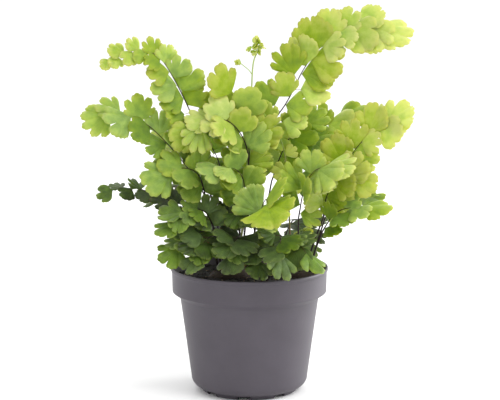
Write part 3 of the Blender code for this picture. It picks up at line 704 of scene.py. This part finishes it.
def make_pot(material):
    shape = Shape()
    shape.add(lathe(pot_surface_profile(), POT_SECTORS))
    pot = shape.made("pot_shell", material)
    cutters = []
    width = 2 * foot_radius() * math.sin(FOOT_GAP_ANGLE / 2)
    for index in range(FEET):
        bpy.ops.mesh.primitive_cube_add(size=1)
        gap = bpy.context.object
        gap.data.transform(Matrix.Diagonal((3 * FOOT_WIDTH, width, 2 * FOOT_HEIGHT, 1)))
        gap.data.transform(Matrix.Translation((foot_radius() - FOOT_WIDTH / 2, 0, -FOOT_GAP_SINK)))
        gap.rotation_euler.z = FOOT_GAP_START + math.tau * index / FEET
        cutters.append(gap)
    for index in range(DRAIN_HOLES):
        angle = FOOT_GAP_START + math.tau * (index + 0.5) / DRAIN_HOLES
        place = (*polar(DRAIN_CIRCLE_RADIUS, angle), floor_top() / 2)
        bpy.ops.mesh.primitive_cylinder_add(vertices=24, radius=DRAIN_HOLE_RADIUS, depth=2 * floor_top(),
                                            location=place)
        cutters.append(bpy.context.object)
    cut(pot, cutters)
    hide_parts("pot")


# Peat

def peat_bump(x, y):
    """How far the loose peat stands over its even top."""
    clods = noise.fractal(Vector((x, y, 0.3)) * 130, 1.0, 2.1, 3)
    grains = noise.noise(Vector((x, y, 0.8)) * 620)
    return CLOD_HEIGHT * clods + GRAIN_HEIGHT * grains - PEAT_DIP


def peat_top(x, y):
    return soil_height(x, y) + peat_bump(x, y)


def make_peat(material):
    edge = inner_radius(soil_edge_height()) - GAP
    radii = [edge * i / PEAT_RINGS for i in range(PEAT_RINGS + 1)]
    profile = [(radius, soil_height(radius, 0)) for radius in radii]
    below = [(r, z) for r, z in reversed(inner_profile()) if z < soil_edge_height() - 0.001]
    profile += [(r - GAP, max(z, floor_top() + GAP)) for r, z in below]
    profile.append((0, floor_top() + GAP))
    points, faces = lathe(profile, PEAT_SECTORS)
    for point in points:
        radius = math.hypot(point.x, point.y)
        if point.z > soil_edge_height() - GAP:
            point.z += peat_bump(point.x, point.y) - EDGE_DROP * (radius / edge) ** 12
    shape = Shape("tone")
    shape.add((points, faces), tone=0.0)
    peat = shape.made("peat_bed", material)
    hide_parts("soil")


def on_peat(draw, margin):
    """A random place on the peat's top."""
    radius = (inner_radius(soil_edge_height()) - margin) * math.sqrt(draw.random())
    x, y = polar(radius, draw.uniform(0, math.tau))
    return Vector((x, y, peat_top(x, y)))


def any_way(draw):
    """A vector of a random length that points anywhere."""
    return Vector((draw.gauss(0, 1), draw.gauss(0, 1), draw.gauss(0, 1)))


def random_turn(draw):
    return Vector((0, 0, 1)).rotation_difference(any_way(draw).normalized())


def make_crumbs(material):
    """Loose crumbs of peat, with a few pale bits of bark and grit."""
    draw = random.Random(11)
    shape = Shape("tone")
    for index in range(CRUMBS):
        pale = draw.random() < PALE_CRUMBS
        size = draw.uniform(0.0004, 0.0010) if pale else draw.uniform(0.0005, 0.0017)
        sizes = (size * draw.uniform(0.8, 1.5), size * draw.uniform(0.6, 1.0), size * draw.uniform(0.4, 0.8))
        centre = on_peat(draw, 0.0022)
        shape.add(lump(centre, sizes, random_turn(draw), 0.5, index),
                  tone=draw.uniform(0.6, 1.0) if pale else draw.uniform(0.0, 0.32))
    crumbs = shape.made("peat_crumbs", material)


def make_fibres(material):
    """Fine root and moss fibres that lie on the peat."""
    draw = random.Random(12)
    shape = Shape("tone")
    for _ in range(FIBRES):
        start = on_peat(draw, 0.008)
        heading = draw.uniform(0, math.tau)
        length = draw.uniform(0.003, 0.009)
        points = []
        for i in range(FIBRE_POINTS):
            heading += draw.uniform(-0.5, 0.5)
            start = start + Vector((*polar(1, heading), 0)) * (length / 6)
            height = peat_top(start.x, start.y) + 0.0002 + 0.0007 * math.sin(math.pi * i / 6)
            points.append(Vector((start.x, start.y, height)))
        thick = draw.uniform(0.00010, 0.00022)
        radii = [thick * (1 - 0.6 * abs(i / 3 - 1)) for i in range(FIBRE_POINTS)]
        shape.add(tube(points, radii, 5), tone=draw.uniform(0.35, 0.9))
    fibres = shape.made("peat_fibres", material)


def make_rootstock(name, material):
    """A root stock with a fine rough surface and pointed brown scales."""
    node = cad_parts[f"rhizome_{name}"]
    bm = bmesh.new()
    bm.from_mesh(node.data)
    bmesh.ops.remove_doubles(bm, verts=bm.verts, dist=0.00001)
    bmesh.ops.subdivide_edges(bm, edges=bm.edges, cuts=3, use_grid_fill=True, smooth=0.6)
    bmesh.ops.triangulate(bm, faces=bm.faces)
    bm.normal_update()
    surface = [(vertex.co.copy(), vertex.normal.copy()) for vertex in bm.verts]
    points = [co + normal * (0.0005 * noise.fractal(co * 420, 1.0, 2.0, 3) - 0.0002)
              for co, normal in surface]
    shape = Shape("tone")
    shape.add((points, [tuple(v.index for v in face.verts) for face in bm.faces]), tone=0.15)
    bm.free()
    draw = random.Random(f"scales {name}")
    for co, normal in draw.sample(surface, min(SCALES, len(surface))):
        if normal.z < 0.05:
            continue
        side = Vector((draw.gauss(0, 1), draw.gauss(0, 1), draw.gauss(0, 0.4)))
        along = (side - side.dot(normal) * normal).normalized()
        length = draw.uniform(0.0010, 0.0022)
        points = [co + along * (length * t) + normal * (0.0005 * math.sin(2.4 * t))
                  for t in (0, 0.35, 0.7, 1.0)]
        width = draw.uniform(0.00012, 0.00024)
        scale = tube(points, [width, 1.1 * width, 0.7 * width, 0.1 * width], 5)
        shape.add(scale, tone=draw.uniform(0.3, 0.75))
    rootstock = shape.made(f"rootstock_{name}", material)
    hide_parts(f"rhizome_{name}")


# Fine leaflets

class LeafStyle:
    """One leaflet's own outline and bends."""

    def __init__(self, draw, width, bud=False):
        self.opening = math.radians(draw.uniform(52, 72))
        self.lobes = 3 if width < 0.011 else draw.choice((3, 4, 4, 5))
        self.depths = [draw.uniform(0.08, 0.18) if draw.random() < 0.35 else draw.uniform(0.26, 0.46)
                       for _ in range(self.lobes + 1)]
        self.depths[0] = self.depths[-1] = draw.uniform(0.12, 0.24)
        self.teeth = self.lobes * (3 if width > 0.014 else 2)
        self.skew = draw.uniform(-0.05, 0.05)
        self.curl = 1.1 if bud else draw.uniform(-0.04, 0.30)
        self.roll = 1.0 if bud else draw.uniform(-0.20, 0.42)
        self.wave = draw.uniform(0.03, 0.095)
        self.waves = draw.uniform(2.0, 4.5)
        self.phase = draw.uniform(0, math.tau)

    def lobe_share(self, share):
        """How far across its lobe the edge is: 0 in a notch and 1 in the middle of a lobe."""
        place = self.lobes * ((share + 1) / 2 + self.skew * math.sin(math.pi * share))
        return abs(math.sin(math.pi * place)), self.depths[min(self.lobes, max(0, round(place)))], place

    def edge(self, share):
        """Lobe share, body and notches at a share from -1 to 1 of the opening, for a width of 1."""
        lobe, depth, place = self.lobe_share(share)
        body = LEAF_LENGTH * math.cos(0.9 * share * self.opening) ** 0.75
        tooth = abs(math.sin(math.pi * place * self.teeth / self.lobes))
        return lobe, body, (1 - depth * (1 - lobe ** 0.4)) * (1 - TOOTH_DEPTH * (1 - tooth ** 0.6))


def leaf_surface(style, frame_at, width, reach, strength):
    """The leaflet's points, and its faces with their upper side out."""
    points = [frame_at @ Vector((0, reach, 0))]
    for ring in LEAF_RINGS:
        for ray in range(LEAF_RAYS):
            share = 2 * ray / (LEAF_RAYS - 1) - 1
            angle = share * style.opening
            lobe, body, notch = style.edge(share)
            radius = ring * body * (1 - (1 - notch) * ring)
            x, y = radius * math.sin(angle), radius * math.cos(angle)
            ripple = style.wave * math.sin(style.waves * angle + style.phase)
            lift = ring ** 2 * (0.09 * (lobe - 0.6) + ripple)
            drop = style.curl * y ** 2 + style.roll * x ** 2
            points.append(frame_at @ Vector((x * width, y * width + reach, (lift - drop) * width * strength)))
    faces = [(0, 2 + ray, 1 + ray) for ray in range(LEAF_RAYS - 1)]
    for ring in range(len(LEAF_RINGS) - 1):
        first = 1 + ring * LEAF_RAYS
        for ray in range(first, first + LEAF_RAYS - 1):
            faces.append((ray, ray + 1, ray + LEAF_RAYS + 1, ray + LEAF_RAYS))
    return points, faces


# For each of a leaflet's points: its share of the opening, and its ring
LEAF_LAYERS = {
    "ray": [0.0] + [2 * ray / (LEAF_RAYS - 1) - 1 for _ in LEAF_RINGS for ray in range(LEAF_RAYS)],
    "ring": [0.0] + [ring for ring in LEAF_RINGS for _ in range(LEAF_RAYS)],
}


def fan_base(width, reach):
    """How far from the axis a fine leaflet's fan begins, and its width: a short stem's fan starts lower."""
    if reach > SHORT_STEM:
        return reach, width
    base = STEM_SHARE * reach
    return base, width * (1 + FAN_GROWTH * (reach - base) / width)


def fine_leaflet(leaflet, draw, fine_clearance, owner):
    """The leaflet's fine surface, bent and grown as much as it can be without touching anything."""
    frame_at, width, reach = leaflet
    base, fan_width = fan_base(width, reach)
    ball = ball_round(frame_at, width, reach)
    style = LeafStyle(draw, width)
    for strength, growth in BENDS:
        points, faces = leaf_surface(style, frame_at, fan_width * growth, base, strength)
        tree = BVHTree.FromPolygons(points, faces)
        if not fine_clearance.touched(tree, points, ball, owner):
            break
    fine_clearance.plates.append((ball, tree))
    return points, faces


def as_sheet(piece, thickness):
    """Gives leaf surfaces the thickness of a sheet, and returns its modifier."""
    sheet = piece.modifiers.new("sheet", "SOLIDIFY")
    sheet.thickness = thickness
    sheet.offset = 0
    return sheet


def make_leaflets(name, leaflets, youth_and_shade, fine_clearance, material):
    """All of a frond's leaflets as one piece of thin sheet."""
    draw = random.Random(f"leaflets {name}")
    shape = Shape("ray", "ring", "tint", "youth_and_shade")
    for _, share, owner, leaflet in leaflets:
        part = fine_leaflet(leaflet, draw, fine_clearance, owner)
        # Each leaflet's value of age and painted shade: its frond's value, a little higher towards the
        # branch's end, with a small random difference
        age_and_shade = min(1.0, max(0.0, youth_and_shade + 0.18 * (share - 0.5) + draw.uniform(-0.09, 0.09)))
        shape.add(part, **LEAF_LAYERS, tint=draw.random(), youth_and_shade=age_and_shade)
    blade = shape.made(f"{name}_leaflets", material)
    as_sheet(blade, LEAF_SHEET).use_even_offset = False
    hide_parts(f"{name}_blade")


def make_stems(name, route, branches, leaflets, youth_and_shade, material):
    """A frond's wiry stalk, its fine axes and each leaflet's hair-thin stem."""
    shape = Shape("tone")
    pale = max(0.0, (youth_and_shade - 0.9) * 10)
    stalk = smooth_route(route.points, 0.003)
    count = len(stalk)
    radii = [STALK_RADIUS * (1.05 - 0.35 * i / (count - 1)) for i in range(count)]
    tones = [0.05 + 0.2 * i / count + pale * (0.5 + 0.3 * i / count) for i in range(count)]
    add_rod(shape, stalk, radii, 10, tones)
    for branch in branches:
        points = smooth_route(branch.points, 0.002)
        count = len(points)
        radii = [STALK_RADIUS * (0.68 - 0.50 * i / (count - 1)) for i in range(count)]
        tones = [min(1.0, 0.2 + 0.42 * (i / count) ** 2 + 0.6 * pale) for i in range(count)]
        add_rod(shape, points, radii, 8, tones)
    for base, share, _, (frame_at, width, reach) in leaflets:
        start = fan_base(width, reach)[0]
        middle = frame_at @ Vector((0.03 * start, 0.5 * start, -0.06 * start))
        end = frame_at @ Vector((0, start + 0.0006, -0.00012))
        radii = [1.2 * PETIOLULE_RADIUS, PETIOLULE_RADIUS, 0.9 * PETIOLULE_RADIUS]
        shape.add(tube([base, middle, end], radii, 6), tone=min(1.0, 0.35 + 0.3 * share + 0.5 * pale))
    stem = shape.made(f"{name}_stem", material)
    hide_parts(f"{name}_stalk")


# Croziers

def make_crozier(name, points, buds, sprig, stem_look, leaf_look):
    """A young frond: its pale stem, a closing coil, the curled buds on it and a side sprig."""
    draw = random.Random(f"crozier {name}")
    line = smooth_route(points, 0.0015)
    count = len(line)
    radii = [CROZIER_RADIUS * (1.0 - 0.45 * i / count) for i in range(count)]
    shape = Shape("tone")
    tones = [0.72 + 0.24 * i / count for i in range(count)]
    add_rod(shape, line, radii, 10, tones)
    leaves = Shape("ray", "ring", "tint", "youth_and_shade")
    coil = points[-COIL_STEPS:]
    middle = sum(coil, Vector()) / len(coil)
    for index in range(buds):
        place = coil[min(len(coil) - 1, index * len(coil) // buds)]
        outwards = draw.choice((1.0, 1.0, -0.5)) * (place - middle).normalized()
        outwards += 0.5 * Vector((0, draw.uniform(-1, 1), draw.uniform(-0.6, 0.6)))
        width = draw.uniform(0.0046, 0.0062)
        style = LeafStyle(draw, width, bud=True)
        frame_at = leaflet_frame(place, outwards, any_way(draw), 0, 0)
        part = leaf_surface(style, frame_at, width, 0.0002, 1.0)
        leaves.add(part, **LEAF_LAYERS, tint=draw.random(), youth_and_shade=draw.uniform(0.80, 0.92))
    if sprig:
        start = line[round(0.80 * count)]
        ends = [start + Vector(step) * MM for step in ((-2.5, 0, 3.5), (-6, -0.5, 6.5), (-8.5, -1, 8.5))]
        twig = smooth_route([start] + ends, 0.001)
        shape.add(tube(twig, [0.00030] * len(twig), 8), tone=0.93)
        for turn in (-35, 15, 60):
            style = LeafStyle(draw, 0.005, bud=True)
            frame_at = leaflet_frame(ends[-1], ends[-1] - ends[-2], Vector((0.2, -1, 0.5)), turn, 25)
            part = leaf_surface(style, frame_at, 0.0050, 0.0003, 0.6)
            leaves.add(part, **LEAF_LAYERS, tint=draw.random(), youth_and_shade=0.84)
    stem = shape.made(f"{name}_stem", stem_look)
    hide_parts(name)
    bud_piece = leaves.made(f"{name}_buds", leaf_look)
    as_sheet(bud_piece, 0.8 * LEAF_SHEET)


# Materials

def node(tree, kind, inputs=None, **settings):
    """A shader node with its settings. An input given a socket is linked to it, and any other is set."""
    made = tree.nodes.new(kind)
    for name, value in settings.items():
        setattr(made, name, value)
    for name, value in (inputs or {}).items():
        if isinstance(value, bpy.types.NodeSocket):
            tree.links.new(value, made.inputs[name])
        else:
            made.inputs[name].default_value = value
    return made


def calc(tree, operation, first, second=0.0, clamp=False):
    made = node(tree, "ShaderNodeMath", {0: first, 1: second}, operation=operation, use_clamp=clamp)
    return made.outputs[0]


def times(tree, first, second):
    return calc(tree, "MULTIPLY", first, second)


def plus(tree, first, second, clamp=False):
    return calc(tree, "ADD", first, second, clamp)


def swing(tree, grain, amount):
    """Noise turned into a difference round 0, a share of the amount each way."""
    return times(tree, calc(tree, "SUBTRACT", grain, 0.5), amount)


def spread(tree, value, low, high):
    """A value from 0 to 1 brought to the range from low to high."""
    return node(tree, "ShaderNodeMapRange", {"Value": value, "To Min": low, "To Max": high}).outputs[0]


def layer(tree, name):
    return node(tree, "ShaderNodeAttribute", attribute_name=name).outputs["Fac"]


def mixed(tree, factor, socket, colour):
    """A colour socket mixed with an RGB colour."""
    return node(tree, "ShaderNodeMix", {0: factor, 6: socket, 7: (*colour, 1)}, data_type="RGBA").outputs[2]


def ramp(tree, factor, stops):
    """A colour ramp with (place, RGB colour) stops."""
    made = node(tree, "ShaderNodeValToRGB", {0: factor})
    elements = made.color_ramp.elements
    for _ in stops[2:]:
        elements.new(0.5)
    for element, (place, colour) in zip(elements, stops):
        element.position = place
        element.color = (*colour, 1)
    return made.outputs["Color"]


def speckle(tree, scale, detail=2.0, roughness=0.5):
    """Noise in the object's own metres, from about 0.25 to 0.75."""
    place = node(tree, "ShaderNodeTexCoord").outputs["Object"]
    made = node(tree, "ShaderNodeTexNoise", {"Vector": place, "Scale": scale, "Detail": detail,
                                            "Roughness": roughness})
    return made.outputs["Fac"]


def new_material(name, numbers):
    """A material with these numbers on its shader's own sockets."""
    material = bpy.data.materials.new(name)
    material.use_nodes = True
    shader = material.node_tree.nodes["Principled BSDF"]
    for socket, number in numbers.items():
        shader.inputs[socket].default_value = number
    return material, material.node_tree, shader


def wire(tree, shader, colour, height, distance, strength=1.0):
    """Links a colour to the shader, and a bump with this height."""
    tree.links.new(colour, shader.inputs["Base Color"])
    bump = node(tree, "ShaderNodeBump", {"Height": height, "Distance": distance, "Strength": strength})
    tree.links.new(bump.outputs["Normal"], shader.inputs["Normal"])


def plastic_material():
    """Matte grey moulded plastic with a fine grain and faint cloudy dust."""
    material, tree, shader = new_material("pot plastic", {"Specular IOR Level": 0.42})
    cloud = speckle(tree, 28, 4, 0.6)
    colour = ramp(tree, cloud, [(0.30, (0.056, 0.048, 0.061)), (0.72, (0.072, 0.063, 0.078))])
    tree.links.new(spread(tree, cloud, 0.40, 0.54), shader.inputs["Roughness"])
    wire(tree, shader, colour, speckle(tree, 900, 2, 0.6), 0.00006, 0.7)
    return material


def peat_material():
    """Dark damp peat; the tone layer picks the paler crumbs and fibres."""
    material, tree, shader = new_material("peat", {"Roughness": 0.88})
    grain = speckle(tree, 700, 4, 0.7)
    patch = speckle(tree, 90, 3, 0.6)
    shade = plus(tree, layer(tree, "tone"), swing(tree, grain, 0.5))
    shade = plus(tree, shade, swing(tree, patch, 0.35), True)
    colour = ramp(tree, shade, [(0.0, (0.0045, 0.0030, 0.0026)), (0.22, (0.014, 0.008, 0.0058)),
                                (0.55, (0.070, 0.038, 0.021)), (1.0, (0.30, 0.19, 0.11))])
    wire(tree, shader, colour, grain, 0.0005)
    return material


def bark_material():
    """The root stock's brown scales over a darker body."""
    material, tree, shader = new_material("root stock", {"Roughness": 0.74})
    grain = speckle(tree, 520, 3, 0.65)
    shade = plus(tree, layer(tree, "tone"), times(tree, grain, 0.4), True)
    colour = ramp(tree, shade, [(0.15, (0.012, 0.007, 0.0045)), (0.5, (0.040, 0.020, 0.010)),
                                (1.0, (0.13, 0.065, 0.030))])
    wire(tree, shader, colour, grain, 0.0004)
    return material


def stem_material():
    """Wiry stems: satin black-brown when old, red-brown and then pale green where they are new."""
    material, tree, shader = new_material("fern stem", {"Roughness": 0.42, "Specular IOR Level": 0.18})
    grain = speckle(tree, 420, 3, 0.6)
    shade = plus(tree, layer(tree, "tone"), swing(tree, grain, 0.12), True)
    colour = ramp(tree, shade, [(0.0, (0.0085, 0.0050, 0.0050)), (0.30, (0.022, 0.011, 0.009)),
                                (0.52, (0.075, 0.032, 0.018)), (0.68, (0.17, 0.11, 0.045)),
                                (0.80, (0.24, 0.30, 0.075)), (1.0, (0.38, 0.52, 0.13))])
    wire(tree, shader, colour, grain, 0.00005)
    return material


def vein_lines(tree, ray, count, sway):
    """1 on veins that spread from the leaflet's base, and 0 between them."""
    place = plus(tree, times(tree, ray, count / 2), sway)
    wave = calc(tree, "ABSOLUTE", calc(tree, "SINE", times(tree, place, math.pi)))
    return calc(tree, "POWER", calc(tree, "SUBTRACT", 1.0, wave), 3.0)


def leaf_material():
    """Thin satin fern leaf: forking veins, a warmer rim, mottling and a few brown spots on old leaves. Its
    green runs from dark to pale by age and painted shade, so the low leaves near the soil carry painted
    shade.
    """
    material, tree, shader = new_material("fern leaf", {
        "Specular IOR Level": 0.20, "Subsurface Weight": 1.0, "Subsurface Radius": (1.0, 1.0, 0.4),
        "Subsurface Scale": 0.0006,
    })
    ray, ring, youth_and_shade, tint = (layer(tree, name) for name in ("ray", "ring", "youth_and_shade", "tint"))
    mottle = speckle(tree, 160, 3, 0.55)
    fine = speckle(tree, 1500, 2, 0.5)
    sway = times(tree, speckle(tree, 240, 1, 0.5), 0.9)
    inner = vein_lines(tree, ray, 18, sway)
    outer = vein_lines(tree, ray, 36, sway)
    outwards = node(tree, "ShaderNodeMapRange", {"Value": ring, "From Min": 0.35, "From Max": 0.75})
    veins = node(tree, "ShaderNodeMix", {0: outwards.outputs[0], 2: inner, 3: outer}).outputs[0]

    rim = calc(tree, "POWER", ring, 3.0)
    # Painted shade: the ramp runs from near-black green at 0 to pale yellow-green at 1, and the paler rim is
    # scaled by the same value, so the low fronds with low values stay dark as if in shade
    age_and_shade = plus(tree, youth_and_shade, times(tree, rim, times(tree, youth_and_shade, 0.30)))
    age_and_shade = plus(tree, age_and_shade, swing(tree, mottle, 0.55), True)
    green = ramp(tree, age_and_shade, [(0.0, (0.012, 0.026, 0.006)), (0.28, (0.055, 0.112, 0.012)),
                             (0.55, (0.160, 0.275, 0.022)), (0.80, (0.310, 0.420, 0.034)),
                             (1.0, (0.450, 0.510, 0.100))])
    warm = times(tree, calc(tree, "POWER", ring, 7.0), times(tree, mottle, times(tree, youth_and_shade, 0.7)))
    green = mixed(tree, warm, green, (0.48, 0.40, 0.10))
    green = mixed(tree, times(tree, veins, 0.22), green, (0.42, 0.48, 0.14))
    green = node(tree, "ShaderNodeHueSaturation", {
        "Value": spread(tree, tint, 0.80, 1.12), "Saturation": spread(tree, tint, 1.06, 0.84), "Color": green,
    }).outputs["Color"]
    old = times(tree, calc(tree, "SUBTRACT", 0.62, youth_and_shade), rim)
    spots = calc(tree, "GREATER_THAN", times(tree, speckle(tree, 210), old), 0.33)
    colour = mixed(tree, times(tree, spots, 0.85), green, (0.120, 0.048, 0.014))

    tree.links.new(spread(tree, mottle, 0.40, 0.60), shader.inputs["Roughness"])
    height = plus(tree, times(tree, veins, 0.6), times(tree, fine, 0.4))
    wire(tree, shader, colour, height, 0.00010, 0.8)
    return material


# Stage

def make_floor():
    bpy.ops.mesh.primitive_plane_add(size=FLOOR_SIZE)
    floor = bpy.context.object
    floor.name = "floor"
    pale = new_material("pale floor", {"Base Color": (0.93, 0.93, 0.93, 1), "Roughness": 0.9})[0]
    floor.data.materials.append(pale)


def make_light(name, place, aim, size, power):
    lamp = bpy.data.lights.new(name, "AREA")
    lamp.size = size
    lamp.energy = power
    obj = bpy.data.objects.new(name, lamp)
    obj.location = place
    obj.rotation_euler = (Vector(aim) - Vector(place)).to_track_quat("-Z", "Y").to_euler()
    bpy.context.scene.collection.objects.link(obj)


def make_stage():
    scene = bpy.context.scene
    world = bpy.data.worlds.new("studio white")
    scene.world = world
    world.use_nodes = True
    background = world.node_tree.nodes["Background"]
    background.inputs["Color"].default_value = (1, 1, 1, 1)
    background.inputs["Strength"].default_value = WORLD_STRENGTH
    make_floor()
    for name, light in LIGHTS.items():
        make_light(name, *light)
    scene.view_settings.view_transform = "Standard"


def make_camera():
    camera = bpy.data.cameras.new("camera")
    camera.sensor_width = SENSOR
    camera.lens = SENSOR * VIEW_DISTANCE / VIEW_WIDTH
    camera.shift_x = VIEW_SHIFT
    obj = bpy.data.objects.new("camera", camera)
    away = Vector((0, -math.cos(VIEW_ELEVATION), math.sin(VIEW_ELEVATION)))
    obj.location = VIEW_TARGET + VIEW_DISTANCE * away
    obj.rotation_euler = (math.pi / 2 - VIEW_ELEVATION, 0, 0)
    bpy.context.scene.collection.objects.link(obj)
    bpy.context.scene.camera = obj


# The whole object

def node_tree_of(name):
    """A CAD node's surface, for clearance tests."""
    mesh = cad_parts[name].data
    return BVHTree.FromPolygons([v.co for v in mesh.vertices], [tuple(p.vertices) for p in mesh.polygons])


def grow_fronds(routes, clearance):
    """For each frond, its leaflets as the CAD rule places them: base, share along, owner and leaflet."""
    grown = {}
    for seed, (name, (_, branches)) in enumerate(routes.items(), 1):
        grown[name] = []
        for index, (branch, (_, *growth)) in enumerate(zip(branches, FRONDS[name][3])):
            plans = planned_leaflets(branch, *growth, 7 * seed + index)
            for place in reversed(range(len(plans))):
                plan, owner = plans[place], f"{name}_{index}"
                leaflet = grow_leaflet(plan, clearance, owner)
                grown[name].append((plan[0], place / (len(plans) - 1), owner, leaflet))
    return grown


def make_fern():
    crown_trees = {name: node_tree_of(f"rhizome_{name}") for name in CROWNS}
    routes = frond_routes(crown_trees)
    croziers = {name: crozier_points(crown_trees, name) for name in CROZIERS}
    solids = [node_tree_of("pot"), node_tree_of("soil")] + list(crown_trees.values())
    stems = stem_samples(routes, croziers)
    grown = grow_fronds(routes, Clearance(solids, stems))

    stem_look = stem_material()
    leaf_look = leaf_material()
    fine_clearance = Clearance(solids, stems)
    for name, (stalk, branches) in routes.items():
        make_leaflets(name, grown[name], YOUTH_AND_SHADE[name], fine_clearance, leaf_look)
        make_stems(name, stalk, branches, grown[name], YOUTH_AND_SHADE[name], stem_look)
    for name, buds, sprig in (("crozier_tall", 12, True), ("crozier_small", 6, False)):
        make_crozier(name, croziers[name], buds, sprig, stem_look, leaf_look)


make_pot(plastic_material())
peat_look = peat_material()
make_peat(peat_look)
make_crumbs(peat_look)
make_fibres(peat_look)
bark_look = bark_material()
for crown_name in CROWNS:
    make_rootstock(crown_name, bark_look)
make_fern()
make_stage()
make_camera()
